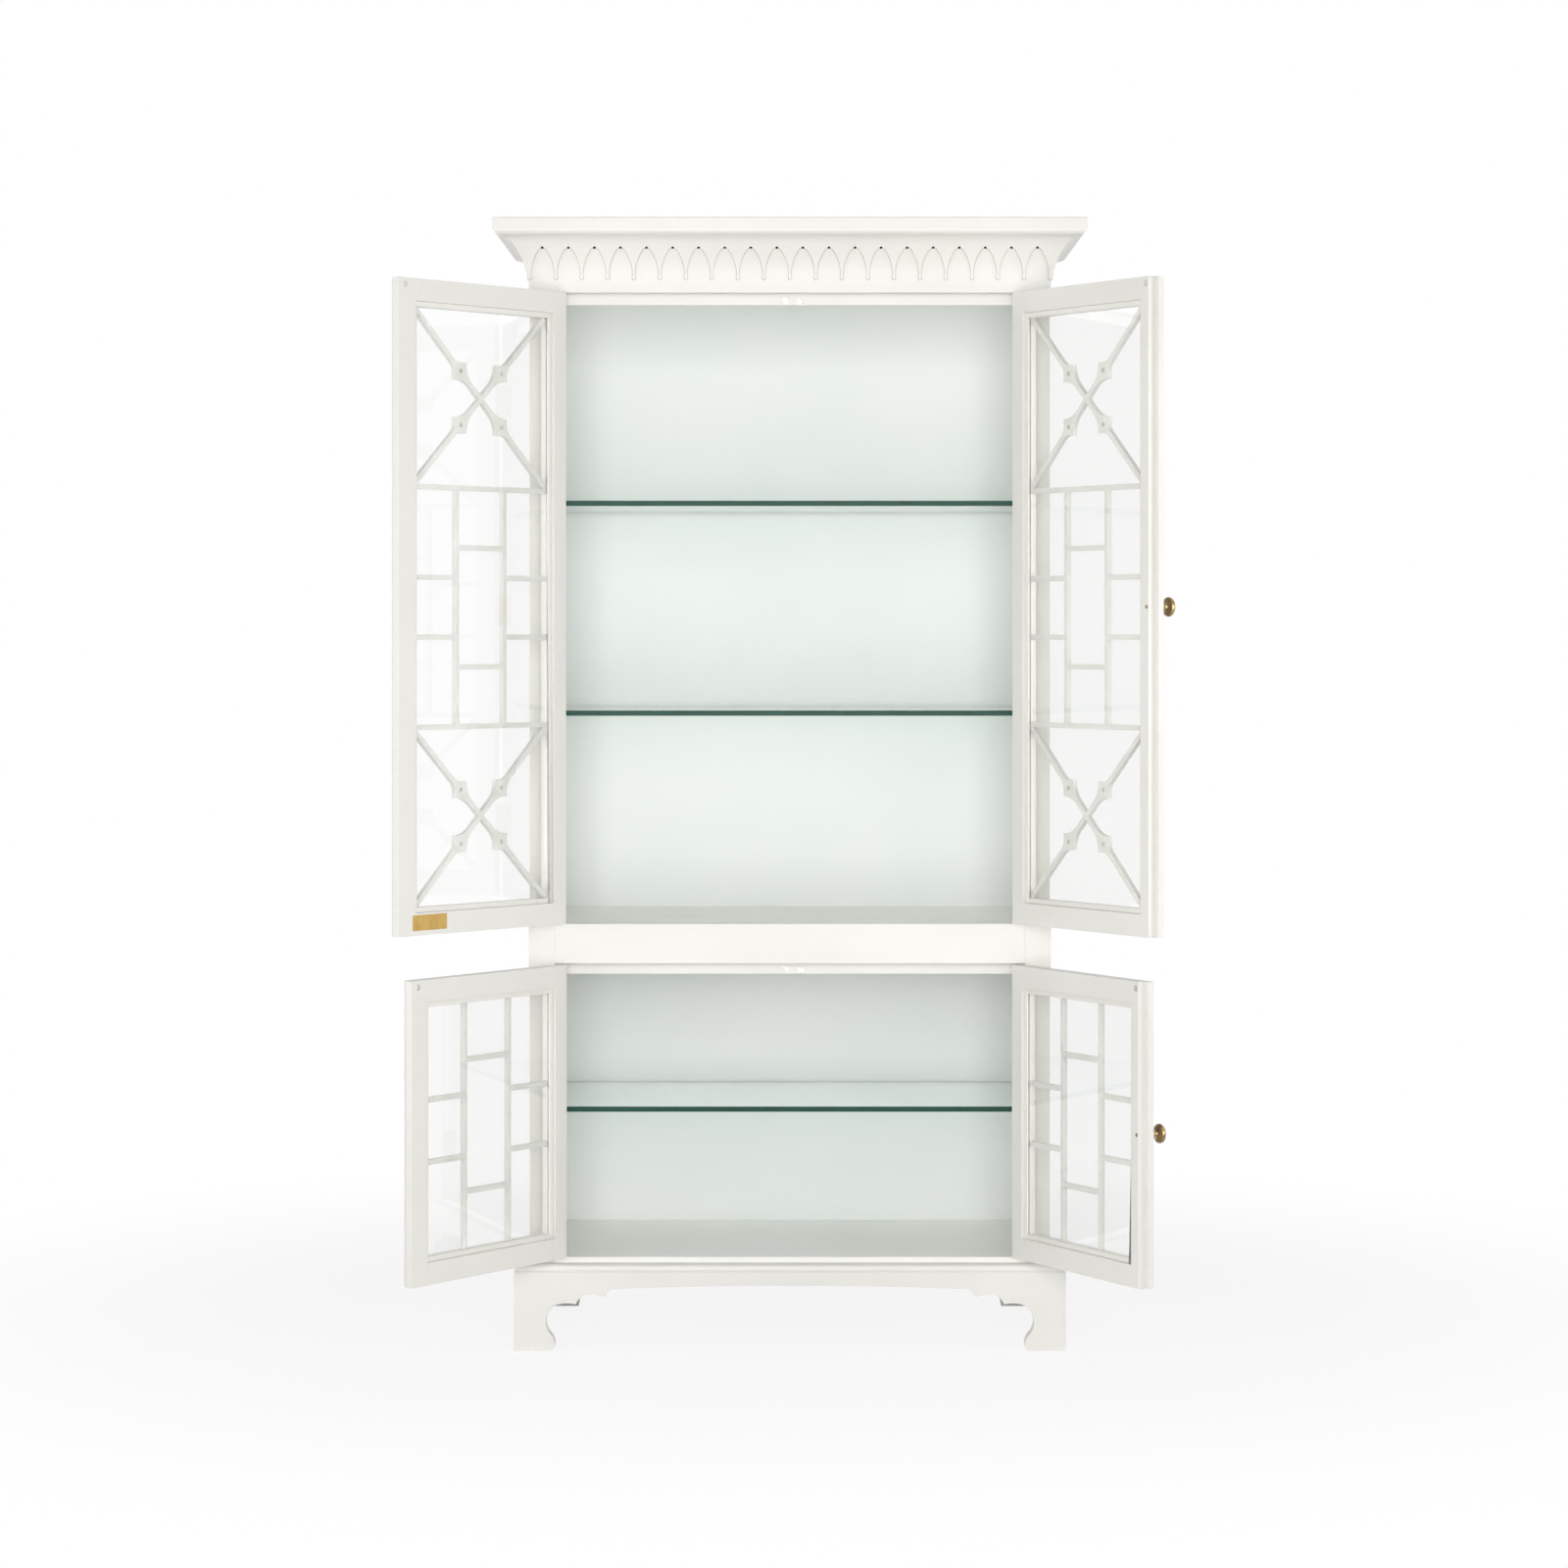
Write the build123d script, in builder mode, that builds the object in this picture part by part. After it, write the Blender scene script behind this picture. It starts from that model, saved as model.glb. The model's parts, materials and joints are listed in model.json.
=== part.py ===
from build123d import *

import os
from dataclasses import dataclass
from math import atan2, cos, degrees, radians, sin

# Glazed book cabinet with two pairs of fretted doors, a Gothic cornice and bracket feet.
# Origin: middle of the rear face at floor level, where wall and floor meet.
# +X is to the right seen from the front, +Y points into the wall, +Z is up. Sizes in millimetres.

# ---------------------------------------------------------------- carcass
BODY_WIDTH = 996.0
BODY_DEPTH = 520.0
HEIGHT = 2152.0
SIDE_PANEL = 18.0
BACK_PANEL = 6.0
BACK_RECESS = 9.0
FACE_FRAME = 20.0
FACE_STILE = 49.0
HOUSING = 6.0
TONGUE_SHOULDER = 5.0
FRAME_TENON = (25.0, 8.0, 8.0)

HALF_BODY = BODY_WIDTH / 2
HALF_INSIDE = HALF_BODY - SIDE_PANEL
HALF_HOUSED = HALF_INSIDE + HOUSING
HALF_OPENING = HALF_BODY - FACE_STILE
FRONT = -BODY_DEPTH
FRAME_BACK = FRONT + FACE_FRAME
BACK_FACE = -BACK_RECESS - BACK_PANEL

# ---------------------------------------------------------------- levels above the floor
BASE_TOP = 149.0
LOWER_FLOOR = 174.0
LOWER_HEAD = 734.0
UPPER_FLOOR = 810.0
UPPER_HEAD = 2014.0
CEILING = 2040.0
COVE_FOOT = 2030.0
COVE_TOP = 2121.0
CROWN_FOOT = 2131.0
FLOOR_BOARD = 20.0

# ---------------------------------------------------------------- base
BASE_PROJECTION = 26.5
BASE_BOARD = 36.0
REAR_BOARD = 22.0
REAR_FOOT_WIDTH = 60.0
REAR_RAIL_FOOT = 95.0
REAR_FOOT_SLOPE = 18.0
MOULDING_HEIGHT = 15.0
MOULDING_NOSE = 25.5
MOULDING_QUIRK = 1.5
MOULDING_ROUND = 9.0
HALF_BASE = HALF_BODY + BASE_PROJECTION
BASE_DEPTH = BODY_DEPTH + BASE_PROJECTION
FRONT_ARCH_CROWN = 124.0
SIDE_ARCH_CROWN = 120.0
FOOT_LENGTH = 186.0
FOOT_HEAD = 117.3

# ---------------------------------------------------------------- cornice
CROWN_PROJECTION = 65.0
CROWN_ARRIS = 1.0
COVE_PROJECTION = 55.0
COVE_LOWER_RADIUS = 129.1
COVE_UPPER_RADIUS = 38.0
COVE_LOWER_CENTRE = Vector(COVE_LOWER_RADIUS, COVE_FOOT)
COVE_UPPER_CENTRE = Vector(COVE_PROJECTION, COVE_TOP - COVE_UPPER_RADIUS)
COVE_JOIN = (COVE_LOWER_CENTRE - COVE_UPPER_CENTRE).get_angle(Vector(1, 0))
BEAD_PROJECTION = 63.0
BEAD_QUIRK = 1.5
BEAD_RADIUS = 9.5
GLUE_LINE = 0.1
ARCADE_THICKNESS = 3.0
LOWER_FLATS = 3
UPPER_FLATS = 2
FRONT_BAYS = 20
SIDE_BAYS = 11
CORNER_INSET = 2.0
BAY = (BODY_WIDTH - 2 * CORNER_INSET) / FRONT_BAYS
ARCH_APEX = 2098.0
ARCH_SHOULDER = (6.5, 2094.0)
ARCH_HAUNCH = (18.6, 2070.0)
DROP_RADIUS = 4.75
DROP_CENTRE = 2043.0
DROP_FACETS = (-90, -20, 55)

# ---------------------------------------------------------------- doors
DOOR_THICKNESS = 26.0
DOOR_GAP = 1.5
HINGE_GAP = 1.0
PIN_OFFSET = 3.5
MEETING_GAP = 1.0
STILE = 45.0
RAIL = 51.0
GLASS_REBATE = 10.0
BACK_LIP_WIDTH = 10.0
BACK_LIP_THICKNESS = 14.0
FRONT_LIP_WIDTH = 11.0
FRONT_LIP_THICKNESS = 11.0
DOOR_TENON = (20.0, 8.0, 8.0)
TENON_SETBACK = 3.5
TENON_FIT = 0.2

# A point on a door is given by its distance along the door from the hinge pin and its depth
# behind the pin. The pin stands PIN_OFFSET in front of the closed door's face.
PIN_X = HALF_OPENING - HINGE_GAP
DOOR_END = PIN_X - MEETING_GAP
FACE_DEPTH = PIN_OFFSET
BACK_DEPTH = PIN_OFFSET + DOOR_THICKNESS
SIGHT_NEAR = HINGE_GAP + STILE
SIGHT_FAR = DOOR_END - STILE
SIGHT_WIDTH = SIGHT_FAR - SIGHT_NEAR
SIGHT_MIDDLE = (SIGHT_NEAR + SIGHT_FAR) / 2
REBATE_NEAR = SIGHT_NEAR - GLASS_REBATE
REBATE_FAR = SIGHT_FAR + GLASS_REBATE
REBATE_RAIL = RAIL - GLASS_REBATE

# ---------------------------------------------------------------- lattice and glazing
LATTICE_BAR = 10.0
LATTICE_THICKNESS = 9.0
LATTICE_FRONT = FACE_DEPTH + 3.0
GLASS_FRONT = FACE_DEPTH + 12.5
PANE = 4.0
PANE_CLEARANCE = 1.0
BEAD_THICKNESS = 3.5
UPRIGHT_SPACING = 129.0
BAND_HALF_HEIGHT = 221.0
UPPER_MIDDLE_BAR = 110.5
UPPER_SIDE_BAR = 55.25
LOWER_MIDDLE_BAR = 122.0
LOWER_SIDE_BAR = 57.0
KNOT_HALF_SIZE = 15.5
KNOT_SHARE = 0.31
KNOT_HOLE = 8.0
INNER_SWEEP = 0.85
OUTER_SWEEP = 0.4

# ---------------------------------------------------------------- hinges, knobs and catches
LEAF_THICKNESS = 1.5
LEAF_WIDTH = 17.0
LEAF_HEIGHT = 64.0
KNUCKLES = 3
KNUCKLE_RADIUS = 3.0
KNUCKLE_GAP = 0.3
PIN_RADIUS = 1.5
TURNING_BORE = 1.65
FITTING_SIDES = 10
DISC_SIDES = 16
STOP_SETBACK = 28.5
STOP_THICKNESS = 18.0
STOP_DROP = 22.0
CATCH_RADIUS = 6.0
CATCH_THICKNESS = 1.2
CATCH_DROP = 14.0
STRIKE_THICKNESS = 0.8
LEFT_CATCH_X = -9.0
RIGHT_CATCH_X = 20.0
KNOB_ALONG = 430.0
KNOB_SIDES = 24
KNOB_BASE = (8.5, 2.5)
KNOB_NECK_RADIUS = 4.8
KNOB_HEAD_RADIUS = 18.0
KNOB_HEAD = (19.0, 31.0)
KNOB_ROUNDING = 4.2
SCREW_RADIUS = 2.0
SCREW_HOLE_RADIUS = 2.2
SCREW_HEAD = (3.5, 1.3)
UPPER_KNOB_LEVEL = 1412.0
LOWER_KNOB_LEVEL = 454.0
PLATE_ALONG = (330.0, 420.0)
PLATE_LEVELS = (820.5, 849.0)
PLATE_THICKNESS = 1.0

# ---------------------------------------------------------------- shelves
SHELF_THICKNESS = 10.0
SHELF_FRONT = FRONT + 34.0
SHELF_BACK = -40.0
SHELF_SIDE_GAP = 2.0
SHELF_ARRIS = 0.8
SHELF_LEVELS = {"lower_shelf": 447.0, "middle_shelf": 1206.0, "upper_shelf": 1608.0}
CLIP_WIDTH = 12.0
CLIP_LEG = 14.0
CLIP_THICKNESS = 1.5
CLIP_INSET = 46.0

MIN_CORNER = (Align.MIN, Align.MIN)
SIDES = {"left": -1, "right": 1}


@dataclass(frozen=True)
class Door:
    """One hinged door, standing open by opening_angle. side is -1 at the left, +1 at the right."""

    name: str
    side: int
    bottom: float
    top: float
    opening_angle: float
    hinge_inset: float
    hinge_count: int

    @property
    def height(self):
        return self.top - self.bottom

    @property
    def along(self):
        """Direction from the hinge pin to the free edge of the open door."""
        angle = radians(self.opening_angle)
        return Vector(-self.side * cos(angle), -sin(angle), 0)

    @property
    def inward(self):
        """Direction from the open door's front face to its back face."""
        angle = radians(self.opening_angle)
        return Vector(-self.side * sin(angle), cos(angle), 0)

    @property
    def up(self):
        """Heights run up a left-hand door and down a right-hand one, which is the same turned over."""
        return Vector(0, 0, -self.side)

    @property
    def pin_foot(self):
        start = self.bottom if self.side < 0 else self.top
        return Vector(self.side * PIN_X, FRONT - PIN_OFFSET, start)

    def height_of(self, level):
        """A level above the floor as a height on the door."""
        return level - self.bottom if self.side < 0 else self.top - level

    def plan(self, height=0.0):
        """Horizontal section of the open door: x along the door, y into its thickness."""
        return Plane(origin=self.pin_foot + self.up * height, x_dir=self.along, z_dir=self.up)

    def frame_plan(self, height=0.0):
        """Horizontal section of the frame at the pin, in the closed door's directions."""
        origin = self.pin_foot + self.up * height
        return Plane(origin=origin, x_dir=(-self.side, 0, 0), z_dir=self.up)

    def face(self, depth):
        """A plane parallel to the door's face: x along the door, y up it, normal outward."""
        origin = self.pin_foot + self.inward * depth
        return Plane(origin=origin, x_dir=self.along, z_dir=-self.inward)

    def fitting_plane(self, distance, height):
        """A fitting's seat on the door's front face, its normal outward."""
        origin = self.pin_foot + self.inward * FACE_DEPTH + self.along * distance + self.up * height
        return Plane(origin=origin, x_dir=self.along, z_dir=-self.inward)

    def hinge_feet(self):
        """Heights of the lower ends of the hinges."""
        span = self.height - 2 * self.hinge_inset
        step = span / (self.hinge_count - 1)
        return [self.hinge_inset + step * i - LEAF_HEIGHT / 2 for i in range(self.hinge_count)]


UPPER = dict(bottom=UPPER_FLOOR + DOOR_GAP, top=UPPER_HEAD - DOOR_GAP, hinge_inset=160.0, hinge_count=3)
LOWER = dict(bottom=LOWER_FLOOR + DOOR_GAP, top=LOWER_HEAD - DOOR_GAP, hinge_inset=110.0, hinge_count=2)
UPPER_LEFT = Door("upper_left", side=-1, opening_angle=128.8, **UPPER)
UPPER_RIGHT = Door("upper_right", side=1, opening_angle=121.5, **UPPER)
LOWER_LEFT = Door("lower_left", side=-1, opening_angle=125.0, **LOWER)
LOWER_RIGHT = Door("lower_right", side=1, opening_angle=118.7, **LOWER)
DOORS = [UPPER_LEFT, UPPER_RIGHT, LOWER_LEFT, LOWER_RIGHT]


def save(piece, label):
    """Names a finished piece and writes it to its own file."""
    piece.part.label = label
    export_step(piece.part, f"parts/{label}.step")


def span(a, b):
    """Two limits in rising order."""
    return (min(a, b), max(a, b))


def slab(x, y, z, mode=Mode.ADD):
    """A squared board or recess of the carcass between pairs of limits."""
    with BuildSketch(Plane.XY.offset(z[0])) as plan:
        with Locations((x[0], y[0])):
            Rectangle(x[1] - x[0], y[1] - y[0], align=MIN_CORNER)
    extrude(plan.sketch, amount=z[1] - z[0], mode=mode)


def block(plane_at, along, depth, height, mode=Mode.ADD):
    """A squared piece or recess of a door. plane_at gives the horizontal section at a height."""
    with BuildSketch(plane_at(height[0])) as plan:
        with Locations((along[0], depth[0])):
            Rectangle(along[1] - along[0], depth[1] - depth[0], align=MIN_CORNER)
    extrude(plan.sketch, amount=height[1] - height[0], mode=mode)


# ---------------------------------------------------------------- base


def foot_outline(half_length, arch_crown):
    """Outline of a base board: cusped bracket feet at both ends, joined by a shallow arch."""
    with BuildLine() as edge:
        for hand in (-1, 1):

            def at(inset, level, hand=hand):
                return (hand * (half_length - inset), level)

            Polyline(at(0, BASE_TOP), at(0, 0), at(71.5, 0))
            ThreePointArc(at(71.5, 0), at(76.5, 6), at(77, 14))
            ThreePointArc(at(77, 14), at(74.5, 23), at(68.5, 31))
            ThreePointArc(at(68.5, 31), at(60.3, 57), at(76, 84.4))
            ThreePointArc(at(76, 84.4), at(96, 89.3), at(117, 87.3))
            ThreePointArc(at(117, 87.3), at(125.5, 99.5), at(138, 107))
            ThreePointArc(at(138, 107), at(155, 105.8), at(171.5, 101.5))
            ThreePointArc(at(171.5, 101.5), at(177.5, 110.5), at(FOOT_LENGTH, FOOT_HEAD))
        reach = half_length - FOOT_LENGTH
        ThreePointArc((-reach, FOOT_HEAD), (0, arch_crown), (reach, FOOT_HEAD))
        Line((-half_length, BASE_TOP), (half_length, BASE_TOP))
    return edge


def mitre(side, shift=0.0):
    """Mitre plane of a front corner, its normal pointing away from the front piece."""
    return Plane(origin=(side * HALF_BODY, FRONT, 0), z_dir=(side, 1, 0)).offset(shift)


def base_front():
    outline = foot_outline(HALF_BASE, FRONT_ARCH_CROWN)
    with BuildPart() as board:
        with BuildSketch(Plane.XZ.offset(BASE_DEPTH)):
            add(outline.line)
            make_face()
        extrude(amount=-BASE_BOARD)
        split(bisect_by=mitre(-1), keep=Keep.BOTTOM)
        split(bisect_by=mitre(1), keep=Keep.BOTTOM)
    save(board, "base_front")


def base_sides():
    outline = foot_outline(BASE_DEPTH / 2, SIDE_ARCH_CROWN)
    for hand, side in SIDES.items():
        outer_face = Plane(
            origin=(side * HALF_BASE, -BASE_DEPTH / 2, 0), x_dir=(0, side, 0), z_dir=(side, 0, 0)
        )
        with BuildPart() as board:
            with BuildSketch(outer_face):
                add(outline.line)
                make_face()
            extrude(amount=-BASE_BOARD)
            split(bisect_by=mitre(side), keep=Keep.TOP)
        save(board, f"base_{hand}")


def base_rear():
    half_rear = HALF_BASE - BASE_BOARD
    foot = half_rear - REAR_FOOT_WIDTH
    with BuildPart() as board:
        slab((-half_rear, half_rear), (-REAR_BOARD, 0), (0, BASE_TOP))
        with BuildSketch(Plane.XZ):
            with BuildLine():
                Polyline(
                    (-foot, 0),
                    (-foot + REAR_FOOT_SLOPE, REAR_RAIL_FOOT),
                    (foot - REAR_FOOT_SLOPE, REAR_RAIL_FOOT),
                    (foot, 0),
                    close=True,
                )
            make_face()
        extrude(amount=REAR_BOARD, mode=Mode.SUBTRACT)
    save(board, "base_rear")


# ---------------------------------------------------------------- mouldings


def profile_plane(side):
    """Plane of a moulding's section: x is its projection from the body, y the level.

    side is 0 for the front length and -1 or +1 for the returns along the sides.
    """
    if side == 0:
        return Plane(origin=(0, FRONT, 0), x_dir=(0, -1, 0), z_dir=(-1, 0, 0))
    return Plane(origin=(side * HALF_BODY, 0, 0), x_dir=(side, 0, 0), z_dir=(0, -side, 0))


def front_length(section, projection):
    """A section run across the front and mitred at both ends."""
    with BuildPart() as length:
        with BuildSketch(profile_plane(0)):
            add(section.sketch)
        extrude(amount=HALF_BODY + projection, both=True)
        split(bisect_by=mitre(-1, -GLUE_LINE), keep=Keep.BOTTOM)
        split(bisect_by=mitre(1, -GLUE_LINE), keep=Keep.BOTTOM)
    return length.part


def side_length(section, projection, side):
    """A section run along one side from the wall to the front mitre."""
    with BuildPart() as length:
        with BuildSketch(profile_plane(side)):
            add(section.sketch)
        extrude(amount=side * (BODY_DEPTH + projection))
        split(bisect_by=mitre(side, GLUE_LINE), keep=Keep.TOP)
    return length.part


def save_moulding(section, projection, label):
    """Runs a section round the front and both sides as three mitred lengths."""
    with BuildPart() as lengths:
        add(front_length(section, projection))
        add(side_length(section, projection, -1))
        add(side_length(section, projection, 1))
    save(lengths, label)


def base_moulding():
    top = BASE_TOP + MOULDING_HEIGHT
    quirk = MOULDING_NOSE - MOULDING_QUIRK
    shoulder = MOULDING_NOSE - MOULDING_ROUND
    with BuildSketch() as section:
        with BuildLine():
            Polyline((shoulder, top), (0, top), (0, BASE_TOP), (quirk, BASE_TOP))
            Line((quirk, BASE_TOP), (quirk, BASE_TOP + MOULDING_QUIRK))
            Line((quirk, BASE_TOP + MOULDING_QUIRK), (MOULDING_NOSE, BASE_TOP + MOULDING_QUIRK))
            Line((MOULDING_NOSE, BASE_TOP + MOULDING_QUIRK), (MOULDING_NOSE, top - MOULDING_ROUND))
            RadiusArc((MOULDING_NOSE, top - MOULDING_ROUND), (shoulder, top), -MOULDING_ROUND)
        make_face()
    save_moulding(section, BASE_PROJECTION, "base_moulding")


def cove_point(turn, inset):
    """Point of the cove's hollow, moved outward by inset. turn runs from 0 at its foot to 90 at its lip."""
    centre, radius = COVE_LOWER_CENTRE, COVE_LOWER_RADIUS
    if turn > COVE_JOIN:
        centre, radius = COVE_UPPER_CENTRE, COVE_UPPER_RADIUS
    return centre + Vector(-cos(radians(turn)), sin(radians(turn))) * (radius - inset)


def crown_moulding():
    bead_foot = COVE_PROJECTION + BEAD_QUIRK
    with BuildSketch() as section:
        with BuildLine():
            TangentArc(cove_point(0, 0), cove_point(COVE_JOIN, 0), tangent=(0, 1))
            TangentArc(cove_point(90, 0), cove_point(COVE_JOIN, 0), tangent=(-1, 0))
            Polyline(cove_point(0, 0), (0, CROWN_FOOT), (BEAD_PROJECTION, CROWN_FOOT))
            RadiusArc((BEAD_PROJECTION, CROWN_FOOT), (bead_foot, COVE_TOP), BEAD_RADIUS)
            Line((bead_foot, COVE_TOP), cove_point(90, 0))
        make_face()
    save_moulding(section, BEAD_PROJECTION, "crown_moulding")


def arcade_bay():
    """Opening between two drops: a lancet arch above the rounded drops' undersides."""
    half = BAY / 2
    with BuildSketch() as bay:
        with BuildLine():
            for hand in (-1, 1):
                side = [
                    (hand * (half - DROP_RADIUS * cos(turn)), DROP_CENTRE + DROP_RADIUS * sin(turn))
                    for turn in map(radians, DROP_FACETS)
                ]
                haunch = (hand * ARCH_HAUNCH[0], ARCH_HAUNCH[1])
                shoulder = (hand * ARCH_SHOULDER[0], ARCH_SHOULDER[1])
                Polyline((hand * half, COVE_FOOT), *side)
                ThreePointArc(side[-1], haunch, shoulder)
                Line(shoulder, (0, ARCH_APEX))
            Line((-half, COVE_FOOT), (half, COVE_FOOT))
        make_face()
    return bay.sketch


def gothic_arcade():
    """The pierced overlay, bent over the cove in narrow flats: lancet arches between round drops."""
    lower_turns = [COVE_JOIN * i / LOWER_FLATS for i in range(LOWER_FLATS)]
    upper_turns = [COVE_JOIN + (90 - COVE_JOIN) * i / UPPER_FLATS for i in range(UPPER_FLATS + 1)]
    turns = lower_turns + upper_turns
    back = [cove_point(turn, GLUE_LINE) for turn in turns]
    face = [cove_point(turn, ARCADE_THICKNESS) for turn in reversed(turns)]
    with BuildSketch() as section:
        with BuildLine():
            Polyline(*back, *face, close=True)
        make_face()
    bay = arcade_bay()
    corner_drop_foot = DROP_CENTRE - DROP_RADIUS
    with BuildPart() as front:
        add(front_length(section, BEAD_PROJECTION))
        with BuildSketch(Plane.XZ.offset(BODY_DEPTH)):
            with GridLocations(BAY, 0, FRONT_BAYS, 1):
                add(bay)
            with Locations((0, COVE_FOOT)):
                Rectangle(2 * BODY_WIDTH, corner_drop_foot - COVE_FOOT, align=(Align.CENTER, Align.MIN))
        extrude(amount=CROWN_PROJECTION, mode=Mode.SUBTRACT)
    returns = []
    for side in SIDES.values():
        side_face = Plane(origin=(side * HALF_BODY, 0, 0), x_dir=(0, side, 0), z_dir=(side, 0, 0))
        centres = [side * (BAY * (i + 0.5) - BODY_DEPTH + CORNER_INSET) for i in range(SIDE_BAYS)]
        with BuildPart() as length:
            add(side_length(section, BEAD_PROJECTION, side))
            with BuildSketch(side_face):
                with Locations(*[(centre, 0) for centre in centres]):
                    add(bay)
                with Locations((0, COVE_FOOT)):
                    Rectangle(2 * BODY_WIDTH, corner_drop_foot - COVE_FOOT, align=(Align.CENTER, Align.MIN))
            extrude(amount=CROWN_PROJECTION, mode=Mode.SUBTRACT)
        returns.append(length.part)
    with BuildPart() as arcade:
        add(front.part)
        add(returns)
    save(arcade, "gothic_arcade")


def crown_board():
    half = HALF_BODY + CROWN_PROJECTION
    with BuildPart() as board:
        slab((-half, half), (FRONT - CROWN_PROJECTION, 0), (CROWN_FOOT, HEIGHT))
        chamfer(board.edges().group_by(Axis.Z)[-1].sort_by(Axis.Y)[:-1], CROWN_ARRIS)
    save(board, "crown_board")


# ---------------------------------------------------------------- carcass boards

BOARD_LEVELS = {
    "bottom_board": (BASE_TOP, LOWER_FLOOR),
    "upper_floor": (UPPER_FLOOR - FLOOR_BOARD, UPPER_FLOOR),
    "top_board": (CEILING, CEILING + FLOOR_BOARD),
}


def carcass_boards():
    """Level boards with a tongue at each end, cut back from the upper face."""
    for name, (foot, top) in BOARD_LEVELS.items():
        with BuildPart() as board:
            slab((-HALF_INSIDE, HALF_INSIDE), (FRAME_BACK, BACK_FACE), (foot, top))
            slab((-HALF_HOUSED, HALF_HOUSED), (FRAME_BACK, BACK_FACE), (foot, top - TONGUE_SHOULDER))
            if name == "bottom_board":
                slab((-HALF_OPENING, HALF_OPENING), (FRONT, FRAME_BACK), (foot, top))
        save(board, name)


def side_panels():
    for hand, side in SIDES.items():
        inner = side * HALF_INSIDE
        housed = span(inner, inner + side * HOUSING)
        with BuildPart() as panel:
            slab(span(inner, side * HALF_BODY), (FRAME_BACK, 0), (BASE_TOP, CROWN_FOOT))
            for foot, top in BOARD_LEVELS.values():
                slab(housed, (FRAME_BACK, BACK_FACE), (foot, top - TONGUE_SHOULDER), mode=Mode.SUBTRACT)
            slab(housed, (BACK_FACE, -BACK_RECESS), (BASE_TOP, CROWN_FOOT), mode=Mode.SUBTRACT)
        save(panel, f"{hand}_side_panel")


def back_panel():
    with BuildPart() as panel:
        slab((-HALF_HOUSED, HALF_HOUSED), (BACK_FACE, -BACK_RECESS), (BASE_TOP, CROWN_FOOT))
    save(panel, "back_panel")


RAIL_LEVELS = {"waist_rail": (LOWER_HEAD, UPPER_FLOOR), "frieze_rail": (UPPER_HEAD, CROWN_FOOT)}


def frame_tenon(side, levels, fit, mode):
    """A face rail's tenon, or its mortise when fit is a clearance."""
    length, thickness, shoulder = FRAME_TENON
    middle = (FRONT + FRAME_BACK) / 2
    slab(
        span(side * HALF_OPENING, side * (HALF_OPENING + length + fit)),
        (middle - thickness / 2 - fit, middle + thickness / 2 + fit),
        (levels[0] + shoulder - fit, levels[1] - shoulder + fit),
        mode=mode,
    )


def face_frame():
    for name, levels in RAIL_LEVELS.items():
        with BuildPart() as rail:
            slab((-HALF_OPENING, HALF_OPENING), (FRONT, FRAME_BACK), levels)
            for side in SIDES.values():
                frame_tenon(side, levels, 0, Mode.ADD)
        save(rail, name)

    with BuildPart() as stiles:
        for side in SIDES.values():
            slab(span(side * HALF_OPENING, side * HALF_BODY), (FRONT, FRAME_BACK), (BASE_TOP, CROWN_FOOT))
            for levels in RAIL_LEVELS.values():
                frame_tenon(side, levels, TENON_FIT, Mode.SUBTRACT)
        for door in DOORS:
            for foot in door.hinge_feet():
                leaf(door.frame_plan, -1, foot, mode=Mode.SUBTRACT)
    save(stiles, "face_stiles")


def door_stops():
    """Strips behind the heads of the openings that the doors close against, with their catches."""
    face = FRONT + STOP_SETBACK
    heads = {UPPER_HEAD: CEILING, LOWER_HEAD: UPPER_FLOOR - FLOOR_BOARD}
    catch_places = [(x, head - CATCH_DROP) for head in heads for x in (LEFT_CATCH_X, RIGHT_CATCH_X)]
    with BuildPart() as strips:
        for head, ceiling in heads.items():
            slab((-HALF_INSIDE, HALF_INSIDE), (face, face + STOP_THICKNESS), (head - STOP_DROP, ceiling))
    save(strips, "door_stops")

    with BuildPart() as catches:
        with BuildSketch(Plane.XZ.offset(-face)):
            with Locations(*catch_places):
                RegularPolygon(CATCH_RADIUS, DISC_SIDES)
        extrude(amount=CATCH_THICKNESS)
    save(catches, "catches")


# ---------------------------------------------------------------- shelves


def shelves():
    half = HALF_INSIDE - SHELF_SIDE_GAP
    for name, level in SHELF_LEVELS.items():
        with BuildPart() as shelf:
            slab((-half, half), (SHELF_FRONT, SHELF_BACK), (level, level + SHELF_THICKNESS))
            chamfer(shelf.edges().filter_by(Axis.X).group_by(Axis.Y)[0], SHELF_ARRIS)
        save(shelf, name)

    with BuildPart() as clips:
        for side in SIDES.values():
            wall = side * HALF_INSIDE
            for level in SHELF_LEVELS.values():
                for y in (SHELF_FRONT + CLIP_INSET, SHELF_BACK - CLIP_INSET):
                    width = (y - CLIP_WIDTH / 2, y + CLIP_WIDTH / 2)
                    slab(span(wall, wall - side * CLIP_THICKNESS), width, (level - CLIP_LEG, level))
                    slab(span(wall, wall - side * CLIP_LEG), width, (level - CLIP_THICKNESS, level))
    save(clips, "shelf_clips")


# ---------------------------------------------------------------- hinges


def leaf(plane_at, hand, foot, mode=Mode.ADD):
    """Flat of a hinge leaf or its recess. hand is -1 in the frame, +1 in the door."""
    along = span(hand * HINGE_GAP, hand * (HINGE_GAP + LEAF_THICKNESS))
    block(plane_at, along, (PIN_OFFSET, PIN_OFFSET + LEAF_WIDTH), (foot, foot + LEAF_HEIGHT), mode=mode)


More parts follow.
